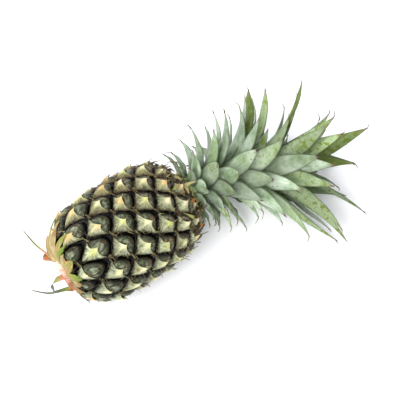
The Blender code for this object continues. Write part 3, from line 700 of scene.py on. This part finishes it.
# painted shade: the leaf darkens towards its foot, partly a greener colour of its own and partly shade between
# overlapping leaves
foot = node("ValToRGB", part, stops=((0.05, "#617A4B"), (0.34, "#FFFFFF")))
foot_shaded = node("Mix", 1.0, veined, foot, **STAIN)
yellow = node("ValToRGB", bruises, stops=(
    (0.30, "#5F7A33"), (0.46, "#849A54"), (0.58, "#9BAC6C"), (0.72, "#A9B57A")))
ripened = node("Mix", ripe, foot_shaded, yellow, **COVER)
bruise_edge = node("Math", ripe, -0.13, 0.61, operation="MULTIPLY_ADD")
bruise_over = node("Math", bruises, bruise_edge, operation="SUBTRACT")
bruise_share = node("MapRange", Value=bruise_over, From_Min=0.0, From_Max=0.03)
bruise_share = node("Math", bruise_share, ripe, operation="MULTIPLY")
bruise_share = node("Math", bruise_share, 1.8, operation="MULTIPLY", use_clamp=True)
bruised = node("Mix", bruise_share, ripened, "#6C7F24", **COVER)
olive = node("Mix", dark, bruised, "#4F5D1E", **COVER)
speck_share = node("MapRange", Value=specks, From_Min=0.20, From_Max=0.13, To_Max=0.85)
speck_where = node("MapRange", Value=bloom, From_Min=0.46, From_Max=0.57)
speck_share = node("Math", speck_share, speck_where, operation="MULTIPLY")
specked = node("Mix", speck_share, olive, "#4D5A34", **COVER)
# partly painted shade: the thin dark edge is partly the leaf's own margin and partly shade in the gaps between
# leaves
edge_line_and_shade = node("MapRange", Value=edge, From_Min=0.30, From_Max=0.95, To_Max=0.9)
edged = node("Mix", edge_line_and_shade, specked, "#46552F", **COVER)
# painted shade: besides its random part, the tone darkens the leaves on the far side, away from the light
toned = node("HueSaturation", Color=edged, Value=node("MapRange", Value=tone, To_Min=0.60, To_Max=1.20))
dry_end = node("MapRange", Value=part, From_Min=0.90, From_Max=0.985)
feed(shader, Base_Color=node("Mix", dry_end, toned, "#6F6B54", **COVER),
     Roughness=node("MapRange", Value=bloom, To_Min=0.42, To_Max=0.62),
     Normal=node("Bump", Height=veins, Strength=0.35, Distance=0.0004))

BLADE_SEED = 8000
BLADE_STATIONS = 26
BLADE_COLUMNS = 9
BLADE_THICKNESS = 0.0016
LEAF_END = 0.985           # where a blade stops narrowing and its dry point starts
NARROWEST = 0.0007         # width of a blade's end
LOWEST = 0.0004            # how near to the table a blade comes
TOOTH_ROOT = 0.0004        # how deep a tooth is sunk in the edge
TOOTH_THICKNESS = 0.0004
POINT_ROOT = 0.0012        # how deep a dry point is sunk in its leaf, and its radii there and at its end
POINT_RADIUS = 0.00085
POINT_END = 0.00022
# Leaves with their own look: twist to the point in degrees, how yellow-green, how olive
LEAF_LOOKS = {
    51: (70, 1.0, 0.35), 64: (35, 0.5, 0.1), 77: (-70, 1.0, 0.35), 95: (45, 0.95, 0.0), 92: (38, 1.0, 0.95),
    97: (38, 1.0, 0.95), 89: (10, 0.5, 0.0), 76: (0, 0.65, 0.0), 68: (0, 0.55, 0.1), 84: (0, 0.6, 0.0),
    85: (0, 0.6, 0.0), 87: (0, 0.55, 0.0), 90: (0, 0.5, 0.0), 82: (0, 0.5, 0.0), 74: (0, 0.5, 0.0),
    71: (0, 0.45, 0.0), 61: (0, 0.4, 0.0), 53: (0, 0.35, 0.0),
}
# The leaves' dry points go no further than this past the solids, and stay above the table
POINT_ROOM = Vector((0.006, 0.004, 0.0022))
reach_low, reach_high = cad_box[0] - POINT_ROOM, cad_box[1] + POINT_ROOM
reach_low.z = 0.0002

leaf_points, leaf_numbers, leaf_maps = [], [], []
tooth_points, tooth_faces, tooth_numbers = [], [], []
leaf_ends = {"points": [], "faces": [], "numbers": {"tone": [], "part": []}}
for leaf in range(LEAF_COUNT):
    draw = random.Random(BLADE_SEED + leaf)
    shape = leaf_shape(leaf)
    middles, crosses, inners = zip(*leaf_spine(shape))
    twist, ripeness, olive_share = LEAF_LOOKS.get(leaf, (draw.uniform(-14, 14), 0.0, 0.0))
    if leaf not in LEAF_LOOKS:
        ripeness = max(0.0, draw.uniform(-0.35, 0.45)) + 0.25 * max(0.0, shape["part"] - 0.6)
    wave, wave_turn = draw.uniform(0.0002, 0.0006), draw.uniform(0.0, 6.0)
    upper, lower, numbers, flat = [], [], [], []
    for station in range(BLADE_STATIONS + 1):
        part = station / BLADE_STATIONS
        point = curve_point(middles, part)
        across = curve_point(crosses, part).normalized()
        inner = curve_point(inners, part).normalized()
        turned = math.radians(twist) * part ** 2
        across, inner = (across * math.cos(turned) + inner * math.sin(turned),
                         inner * math.cos(turned) - across * math.sin(turned))
        width = max(shape["width"] * leaf_width(min(part, LEAF_END)), NARROWEST)
        thickness = BLADE_THICKNESS * (1.0 - 0.6 * part)
        yellowing = ripeness * float(smooth_step((part - 0.15 + 0.1 * ripeness) / 0.6))
        olive_here = olive_share * float(smooth_step(part / 0.25))
        for column in range(BLADE_COLUMNS):
            side = 2.0 * column / (BLADE_COLUMNS - 1) - 1.0
            ripple = wave * math.sin(part * 19.0 + wave_turn + side) * side * side * math.sin(math.pi * part)
            lift = LEAF_CHANNEL * width * abs(side) ** 1.7 + ripple
            half = thickness * (1.0 - 0.72 * side * side) / 2
            at = point + across * side * width / 2 + inner * lift
            upper.append(at + inner * half)
            lower.append(at - inner * half)
            numbers.append((part, yellowing, olive_here, float(abs(side) > 0.95)))
            flat.append((side * width / 2 + leaf * 0.05, part * shape["length"]))
    for point in upper + lower:
        point.z = max(point.z, LOWEST)
    leaf_points += upper + lower
    away = (middles[len(middles) // 2] - middles[0]).normalized()
    tone_here = draw.random() * (1.0 - 0.75 * float(smooth_step(away.y / 0.7)))    # painted shade: dimmer on the far side, away from the light
    for inside_share in (1.0, 0.0):
        leaf_numbers += [(*values, inside_share, tone_here) for values in numbers]
        leaf_maps += flat
    # small, hooked teeth along both edges, some of them missing
    tooth_at = 0.12
    while tooth_at < 0.9:
        station = int(tooth_at * BLADE_STATIONS)
        for column in (0, BLADE_COLUMNS - 1):
            if draw.random() < 0.3:
                continue
            root = upper[station * BLADE_COLUMNS + column]
            inwards = upper[station * BLADE_COLUMNS + BLADE_COLUMNS // 2] - root
            forward = upper[min(station + 1, BLADE_STATIONS) * BLADE_COLUMNS + column] - root
            if inwards.length < 0.001 or forward.length < 0.0005:
                continue
            inwards, forward = inwards.normalized(), forward.normalized()
            thick = inwards.cross(forward) * (TOOTH_THICKNESS / 2)
            size = draw.uniform(0.0005, 0.0009)
            foot = root + inwards * TOOTH_ROOT
            base = len(tooth_points)
            tooth_points += [foot - forward * size, foot + thick, foot + forward * size, foot - thick,
                             root - inwards * size + forward * size]
            tooth_faces += [(base + k, base + (k + 1) % 4, base + 4) for k in range(4)]
            tooth_faces.append((base + 3, base + 2, base + 1, base))
            tooth_numbers += [draw.random()] * 5
        tooth_at += draw.uniform(0.05, 0.09)
    # the dry, hooked point
    last = curve_point(middles, LEAF_END)
    heading = (middles[-1] - middles[-2]).normalized()
    hook = -inners[-1] * draw.uniform(0.3, 1.4) + crosses[-1] * draw.uniform(-1.0, 1.0)
    length = draw.uniform(0.0030, 0.0070)
    route = [last - heading * POINT_ROOT] + curled(last, heading, hook, length, (0.25, 0.5, 0.75, 1.0))
    add_strand(leaf_ends, route, POINT_RADIUS, POINT_END, draw.uniform(0.15, 0.64), (0.2, 0.12),
               lambda point: all(low < value < high for value, low, high in zip(point, reach_low, reach_high)))
crown_leaves = make_piece(
    "crown_leaves", leaf_points, repeat(shell(BLADE_STATIONS + 1, BLADE_COLUMNS), LEAF_COUNT), leaf_blade,
    dict(zip(LEAF_NUMBERS, np.array(leaf_numbers).T)), {"blade": leaf_maps})
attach(crown_leaves, "root")
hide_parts("crown")

leaf_teeth = make_piece("leaf_teeth", tooth_points, tooth_faces, dry_fibre,
                        {"tone": tooth_numbers, "part": [0.3] * len(tooth_points)})
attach(leaf_teeth, "root")

leaf_dry_points = make_piece("leaf_dry_points", surface=dry_fibre, **leaf_ends)
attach(leaf_dry_points, "root")


# Crown stem: the pale green core that the leaves wrap, hidden but for slits at the neck. Its foot
# grows from the flesh inside the ring of the last eyes.
stem_green, shader, node, place = new_surface("pale_green_stem", Specular_IOR_Level=0.4, IOR=1.45, Roughness=0.6)
streak = node("TexNoise", Vector=place, Scale=1 / 0.004, Detail=3.0)
feed(shader, Base_Color=node("ValToRGB", streak, stops=((0.3, "#6F8250"), (0.7, "#A9B583"))))
STEM_SIDES = 40
STEM_RINGS = 24
STEM_SHARE = 0.98          # of the solid's stem, which the leaves' roots come out of
stem_points = []
for ring in range(STEM_RINGS + 1):
    height = STEM_LENGTH * ring / STEM_RINGS
    point, length, upwards, sideways = crown_frame(height)
    for side in range(STEM_SIDES):
        angle = 2.0 * math.pi * side / STEM_SIDES
        swell = 1.0 + 0.02 * math.sin(5 * angle + 40 * height)
        stem_points.append(point + (upwards * math.cos(angle) + sideways * math.sin(angle))
                           * stem_radius(height) * swell * STEM_SHARE)
stem_faces = [face[:1] + face[:0:-1] for face in tube(STEM_RINGS + 1, STEM_SIDES)]     # turned to face out
crown_stem = make_piece("crown_stem", stem_points, stem_faces, stem_green)
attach(crown_stem, "root")


# Joint scraps: short papery bracts, dried brown, yellow and orange and curled every way, in a ring
# where the crown leaves the fruit. They are grown on the crown's foot.
SCRAP_SEED = 9000
SCRAP_COUNT = 380
SCRAP_STEPS = 9
SCRAP_COLUMNS = 5
SCRAP_TONES = (0.0, 0.02, 0.04, 0.06, 0.08, 0.10, 0.12, 0.14, 0.18, 0.24, 0.32, 0.42, 0.52, 0.66, 0.74, 0.86, 0.92)
SCRAP_THICKNESS = 0.0007
CROWN_SHOULDER = 0.0200    # how far down the fruit's shoulder they spread
SHOULDER_RADIUS = 0.0190   # and how near to its axis


def strips(strands, columns):
    """Points, faces, hues and flat places of closed strips, each from the stations down its middle."""
    points, hues, flat = [], [], []
    for stations in strands:
        upper, lower, run = [], [], 0.0
        for number, (point, across, inner, width, thickness, channel, hue) in enumerate(stations):
            run += (point - stations[number - 1][0]).length if number else 0.0
            for column in range(columns):
                side = 2.0 * column / (columns - 1) - 1.0
                at = point + across * side * width / 2 + inner * channel * width * side * side
                half = thickness * (1.0 - 0.7 * side * side) / 2
                upper.append((at + inner * half, hue, (side * width / 2, run)))
                lower.append((at - inner * half, hue, (side * width / 2, run)))
        for point, hue, place in upper + lower:
            points.append(point)
            hues.append(hue)
            flat.append(place)
    return points, repeat(shell(len(strands[0]), columns), len(strands)), hues, flat


shoulder_parts = np.linspace(0.0, 1.0, 8)
shoulder_places = FRUIT_LENGTH - CROWN_FLAT - CROWN_SHOULDER * shoulder_parts ** 2
scraps = []
for scrap in range(SCRAP_COUNT):
    draw = random.Random(SCRAP_SEED + scrap)
    angle = 2.0 * math.pi * draw.random()
    outwards = Vector((0.0, math.sin(angle), math.cos(angle)))
    tangent = Vector((0.0, math.cos(angle), -math.sin(angle)))
    down = draw.random() ** 1.3
    place = float(np.interp(down, shoulder_parts, shoulder_places))
    radius = max(float(outline_radius(np.array(place))), SHOULDER_RADIUS) * draw.uniform(0.82, 1.0) ** (1.0 - down)
    facing = (outwards * (0.3 + down) + Vector((1.0 - down, 0.0, 0.0))).normalized()
    surface_way = facing.cross(tangent).normalized()
    root = on_axis(place) + outwards * radius + facing * 0.0030 * smooth_step(down / 0.3)
    bearing = draw.uniform(-math.pi, math.pi)
    forward = surface_way * math.cos(bearing) + tangent * math.sin(bearing) + facing * draw.uniform(0.0, 0.6)
    forward = forward.normalized()
    curl = facing * draw.uniform(-1.0, 0.3) + tangent * draw.uniform(-0.6, 0.6)
    curl = curl + surface_way * draw.uniform(-0.6, 0.6)
    broad = scrap % 9 == 0
    length = draw.uniform(0.0080, 0.0125) if broad else draw.uniform(0.0045, 0.0105)
    width = draw.uniform(0.0050, 0.0068) if broad else draw.uniform(0.0014, 0.0044)
    tone_here = draw.choice((0.60, 0.70, 0.74)) if broad else draw.choice(SCRAP_TONES)
    stations = []
    for step in range(SCRAP_STEPS):
        part = step / (SCRAP_STEPS - 1)
        ahead = (forward + curl * 1.6 * part).normalized()
        across = ahead.cross(facing + tangent * 0.3).normalized()
        stations.append((root + (forward * part + curl * 0.8 * part * part) * length, across, across.cross(ahead),
                         width * (1.0 - 0.85 * part ** 1.5), SCRAP_THICKNESS, draw.uniform(0.10, 0.16), tone_here))
    scraps.append(stations)
points, faces, tones, flat = strips(scraps, SCRAP_COLUMNS)
joint_scraps = make_piece("joint_scraps", points, faces, dry_fibre, {"tone": tones, "part": [0.1] * len(points)})
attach(joint_scraps, "root")


# Stalk: the soft, pale stub that the fruit was snapped from, with torn fibres on its end.
STUB_RADIUS = 0.0135
STUB_LENGTH = 0.0070
STUB_SIDES = 48
STUB_SEED = 77
# How far out each ring of the stub is, as a part of its length, and how wide, as a part of its radius
STUB_PROFILE = ((0.0, 0.94), (0.10, 1.0), (0.35, 1.0), (0.60, 0.99), (0.85, 0.96), (1.0, 0.88), (1.0, 0.70),
                (0.93, 0.45), (0.88, 0.20))
STALK_BASE = on_axis(STALK_FLAT - TOUCHING_GAP)
stalk_flesh, shader, node, place = new_surface(
    "torn_stalk_flesh", Specular_IOR_Level=0.35, IOR=1.4, Roughness=0.65, Subsurface_Weight=0.15)
fibres = node("Mapping", Vector=place, Scale=(0.15, 1.0, 1.0))
grain = node("TexNoise", Vector=fibres, Scale=1 / 0.0010, Detail=4.0)
patch = node("TexNoise", Vector=place, Scale=1 / 0.0070, Detail=3.0)
flesh = node("ValToRGB", grain, stops=((0.30, "#C9A392"), (0.50, "#E6CBBB"), (0.70, "#F3E6DB")))
sideways = node("SeparateXYZ", place, output="Y")
rosy = node("MapRange", Value=sideways, From_Min=-0.009, From_Max=0.006, To_Min=-0.18, To_Max=0.12)
rosy = node("Math", rosy, patch, operation="ADD")
blushed = node("ValToRGB", rosy, stops=((0.40, "#D98E70"), (0.60, "#FFFFFF")))
feed(shader, Base_Color=node("Mix", 0.7, flesh, blushed, **STAIN),
     Normal=node("Bump", Height=grain, Strength=0.7, Distance=0.0008))

stub_points = []
draw = random.Random(STUB_SEED)
for level, (part, fullness) in enumerate(STUB_PROFILE):
    for side in range(STUB_SIDES):
        angle = 2.0 * math.pi * side / STUB_SIDES
        rough = draw.uniform(-0.0004, 0.0004) * (level > 3)
        radius = STUB_RADIUS * fullness * (1.0 + 0.015 * math.sin(7 * angle)) + rough
        depth = STUB_LENGTH * part + draw.uniform(-0.0007, 0.0003) * (level > 4)
        stub_points.append(STALK_BASE + Vector((-depth, radius * math.sin(angle), radius * math.cos(angle))))
stalk_stub = make_piece("stalk_stub", stub_points, tube(len(STUB_PROFILE), STUB_SIDES), stalk_flesh)
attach(stalk_stub, "root")
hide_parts("stalk")


# Stalk bracts: a collar of dried bracts that lies over the rim of the fruit's end, and six straps
# that curl out. They are thin, fibrous and grown on the stalk, tan to orange where they have dried,
# pink at the straps' roots and green to grey towards their ends.
STRAP_STEPS = 40
STRAP_COLUMNS = 7
STRAP_THICKNESS = 0.0012
STRAP_CHANNEL = 0.18
PINK_HUE = 0.37
# Each strap's root, route and tip from the stalk's middle, its width at the root and at the tip,
# the way its flat side faces, and the part of it that is still pink (or minus the hue of a dried one).
STRAPS = (
    (((-0.003, 0.010, 0.002), (-0.007, 0.024, 0.006), (-0.012, 0.038, 0.012), (-0.015, 0.052, 0.025)),
     0.0030, 0.0012, (-0.2, -0.6, 0.8), 0.65),
    (((-0.002, -0.008, 0.004), (-0.014, -0.006, 0.006), (-0.020, -0.003, -0.006), (-0.021, -0.003, -0.022)),
     0.0095, 0.0016, (0.0, 0.4, 1.0), 0.42),
    (((-0.004, -0.009, -0.003), (-0.0045, -0.019, -0.006), (-0.010, -0.015, -0.008),
      (-0.019, -0.0095, -0.013), (-0.028, -0.004, -0.016), (-0.040, 0.003, -0.003)),
     0.0085, 0.0020, (0.1, 0.4, 0.9), 0.42),
    (((-0.003, -0.010, -0.001), (-0.003, -0.022, -0.006), (0.002, -0.038, -0.017)), 0.0030, 0.0012,
     (1.0, 0.0, 0.4), 0.60),
    (((-0.002, 0.010, 0.003), (-0.004, 0.0215, 0.009), (-0.002, 0.029, 0.014), (0.003, 0.035, 0.0195)),
     0.0075, 0.0030, (-0.4, -0.3, 0.85), -0.21),
    (((-0.002, 0.011, 0.001), (-0.006, 0.019, 0.003), (-0.0105, 0.0235, 0.0015), (-0.0115, 0.0262, -0.0010),
      (-0.0085, 0.0275, -0.0015), (-0.0072, 0.0255, 0.0006)), 0.0058, 0.0040, (-1.0, 0.0, 0.5), -0.04),
)
# Each collar bract's place round the stalk in degrees from the top, how far it reaches over the
# fruit's side, its width, and its hue at the root and at the tip. Those underneath are short and brown.
COLLAR = (
    (60, 0.0330, 0.0140, 0.46, 0.62), (74, 0.0170, 0.0080, 0.50, 0.60), (38, 0.0190, 0.0190, 0.22, 0.15),
    (12, 0.0150, 0.0070, 0.54, 0.60), (22, 0.0240, 0.0080, 0.46, 0.52), (46, 0.0270, 0.0100, 0.24, 0.18),
    (-4, 0.0080, 0.0090, 0.22, 0.18), (-20, 0.0130, 0.0130, 0.46, 0.50), (-38, 0.0110, 0.0110, 0.50, 0.60),
    (-56, 0.0070, 0.0110, 0.22, 0.15), (-72, 0.0050, 0.0090, 0.17, 0.12), (-95, 0.0010, 0.0100, 0.15, 0.11),
    (-118, 0.0080, 0.0060, 0.48, 0.52), (-141, 0.0000, 0.0130, 0.14, 0.12), (-168, 0.0030, 0.0080, 0.18, 0.13),
    (171, 0.0000, 0.0110, 0.16, 0.12), (149, 0.0070, 0.0070, 0.15, 0.13), (128, 0.0010, 0.0120, 0.13, 0.11),
    (113, 0.0100, 0.0070, 0.48, 0.52), (97, 0.0030, 0.0100, 0.14, 0.12),
)
COLLAR_SEED = 600
COLLAR_STEPS = 20
COLLAR_LIFT = 0.0022       # of the lowest layer of collar bracts over the skin, and of each over the next
COLLAR_LAYER = 0.0003
COLLAR_CHANNEL = -0.05
COLLAR_NEARBY = 0.002      # how far ahead and behind along a collar bract its slope is measured

strap_paper, shader, node, place = new_surface(
    "dried_stalk_bract", Specular_IOR_Level=0.35, IOR=1.45, Roughness=0.6)
hue = node("Attribute", output="Fac", attribute_name="hue")
drawn = node("Mapping", Vector=node("UVMap", uv_map="strap"), Scale=(1.0, 0.06, 1.0))
fibres = node("TexNoise", Vector=drawn, Scale=1 / 0.0011, Detail=4.0)
patch = node("TexNoise", Vector=place, Scale=1 / 0.0060, Detail=3.0)
along_hue = node("Math", patch, 0.24, -0.12, operation="MULTIPLY_ADD")
along_hue = node("Math", along_hue, hue, operation="ADD")
strap_colour = node("ValToRGB", along_hue, stops=(
    (0.0, "#B26A3C"), (0.13, "#8F764A"), (0.26, "#C2B27E"), (0.37, "#CB8E76"), (0.48, "#9C9450"),
    (0.60, "#74902A"), (0.80, "#6C7B50"), (1.0, "#848C84")))
threads = node("ValToRGB", fibres, stops=((0.32, "#6E6048"), (0.44, "#C4B8A0"), (0.60, "#FFFFFF")))
feed(shader, Base_Color=node("Mix", 0.7, strap_colour, threads, **STAIN),
     Normal=node("Bump", Height=fibres, Strength=0.6, Distance=0.0004))

straps = []
for points, width, tip_width, face, pink in STRAPS:
    route = [Vector(point) for point in points]
    stations = []
    for step in range(STRAP_STEPS + 1):
        part = step / STRAP_STEPS
        ahead = curve_point(route, min(part + 0.01, 1.0)) - curve_point(route, max(part - 0.01, 0.0))
        across = ahead.cross(Vector(face)).normalized()
        rooted = float(smooth_step(part / 0.15))
        hue_here = PINK_HUE + (1.0 - PINK_HUE) * float(smooth_step((part - pink + 0.25) / 0.6))
        if pink < 0.0:
            hue_here = 0.04 * math.sin(9.0 * part) - pink
        stations.append((STALK_BASE + curve_point(route, part), across, across.cross(ahead).normalized(),
                         (width + (tip_width - width) * part) * (0.8 + 0.2 * rooted),
                         STRAP_THICKNESS * (1.0 - 0.5 * part), STRAP_CHANNEL, hue_here))
    straps.append(stations)
points, faces, hues, flat = strips(straps, STRAP_COLUMNS)
stalk_straps = make_piece("stalk_straps", points, faces, strap_paper, {"hue": hues}, {"strap": flat})
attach(stalk_straps, "root")

rim_places = STALK_FLAT + np.array((0.0, 0.0, 0.0008, 0.003, 0.006, 0.010, 0.015, 0.021, 0.028, 0.036))
rim_radii = np.concatenate(((0.0115, 0.0265), outline_radius(rim_places[2:])))
rim_lengths = np.concatenate(((0.0,), np.cumsum(np.hypot(np.diff(rim_places), np.diff(rim_radii)))))
side_start = rim_lengths[2]
collar = []
for bract, (degrees, overlap, width, root_hue, tip_hue) in enumerate(COLLAR):
    draw = random.Random(COLLAR_SEED + bract)
    swing, wave = draw.uniform(-0.15, 0.15), draw.uniform(0.0, 6.0)
    lift = COLLAR_LIFT + COLLAR_LAYER * (bract % 3)
    stations = []
    for step in range(COLLAR_STEPS + 1):
        part = step / COLLAR_STEPS
        run = (side_start + overlap) * part
        (place, radius), (place_ahead, radius_ahead) = (
            [float(np.interp(at, rim_lengths, values)) for values in (rim_places, rim_radii)]
            for at in (max(run - COLLAR_NEARBY, 0.0), run + COLLAR_NEARBY))
        slope = math.atan2(radius_ahead - radius, place_ahead - place)
        turn = math.radians(degrees) + swing * part * part
        outwards = Vector((0.0, math.sin(turn), math.cos(turn)))
        inner = outwards * math.cos(slope) - Vector((math.sin(slope), 0.0, 0.0))
        point = on_axis((place + place_ahead) / 2) + outwards * ((radius + radius_ahead) / 2)
        point += inner * (lift + 0.0005 * math.sin(8.0 * part + wave) + 0.0010 * part * part)
        fullness = float(np.interp(part, (0.0, 0.5, 0.8, 1.0), (0.55, 1.0, 0.75, 0.12)))
        stations.append((point, Vector((0.0, math.cos(turn), -math.sin(turn))), inner, width * fullness,
                         STRAP_THICKNESS, COLLAR_CHANNEL,
                         root_hue + (tip_hue - root_hue) * float(smooth_step((part - 0.5) / 0.4))))
    collar.append(stations)
points, faces, hues, flat = strips(collar, STRAP_COLUMNS)
stalk_collar = make_piece("stalk_collar", points, faces, strap_paper, {"hue": hues}, {"strap": flat})
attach(stalk_collar, "root")


# Surroundings: a plain white table under a large soft lamp at the stalk end and a weaker one at the
# far side, with white walls all round, and a camera that looks down on the fruit from its near side.
TABLE_HALF = 3.0
TABLE_DROP = 0.0002        # below the lowest points, so that the two surfaces don't fight
# painted light: the table glows faintly, lightening the shadows on it and lighting the fruit from below
white_table, shader, node, place = new_surface(
    "white_table", Roughness=0.9, Specular_IOR_Level=0.1, Emission_Strength=0.07, Emission_Color="#FFFFFF")
clouded = node("TexNoise", Vector=place, Scale=1 / 0.05, Detail=2.0)
feed(shader, Base_Color=node("ValToRGB", clouded, stops=((0.3, "#F4F4F6"), (0.7, "#F6F6F8"))))
middle = (cad_box[0] + cad_box[1]) / 2
table_corners = [(middle.x + across * TABLE_HALF, middle.y + along * TABLE_HALF, -TABLE_DROP)
                 for across, along in ((-1, -1), (1, -1), (1, 1), (-1, 1))]
table = make_piece("table", table_corners, [(0, 1, 2, 3)], white_table)

world = bpy.data.worlds.new("white_walls")
bpy.context.scene.world = world
world.use_nodes = True
feed(world.node_tree.nodes["Background"], Color="#F9FAFF", Strength=0.95)


def add_viewer(name, data, direction, place):
    """A lamp or a camera at a place, which looks back from that direction."""
    holder = bpy.data.objects.new(name, data)
    bpy.context.scene.collection.objects.link(holder)
    holder.location = place
    holder.rotation_mode = "QUATERNION"
    holder.rotation_quaternion = direction.to_track_quat("Z", "Y")
    return holder


LAMP_DISTANCE = 1.6
LAMP_SIZE = 0.9
for name, toward, power in (("key_lamp", (-0.70, -0.30, 1.0), 21.5), ("far_lamp", (-0.30, 0.95, 0.8), 15.0)):
    lamp = bpy.data.lights.new(name, "AREA")
    lamp.shape, lamp.size, lamp.energy = "SQUARE", LAMP_SIZE, power
    direction = Vector(toward).normalized()
    add_viewer(name, lamp, direction, middle + direction * LAMP_DISTANCE)

CAMERA_TURN = math.radians(-35.9)
CAMERA_RISE = math.radians(64.2)
CAMERA_DISTANCE = 0.8585
FIELD_OF_VIEW = math.radians(28.0)
LOOKED_AT = Vector((0.1646 - REST_PLACE, -0.0153, 0.055))
camera = bpy.data.cameras.new("camera")
camera.sensor_width = 36.0
camera.lens = camera.sensor_width / 2 / math.tan(FIELD_OF_VIEW / 2)
back = Vector((math.sin(CAMERA_TURN) * math.cos(CAMERA_RISE), -math.cos(CAMERA_TURN) * math.cos(CAMERA_RISE),
               math.sin(CAMERA_RISE)))
bpy.context.scene.camera = add_viewer("camera", camera, back, LOOKED_AT + back * CAMERA_DISTANCE)
bpy.context.scene.view_settings.view_transform = "Standard"
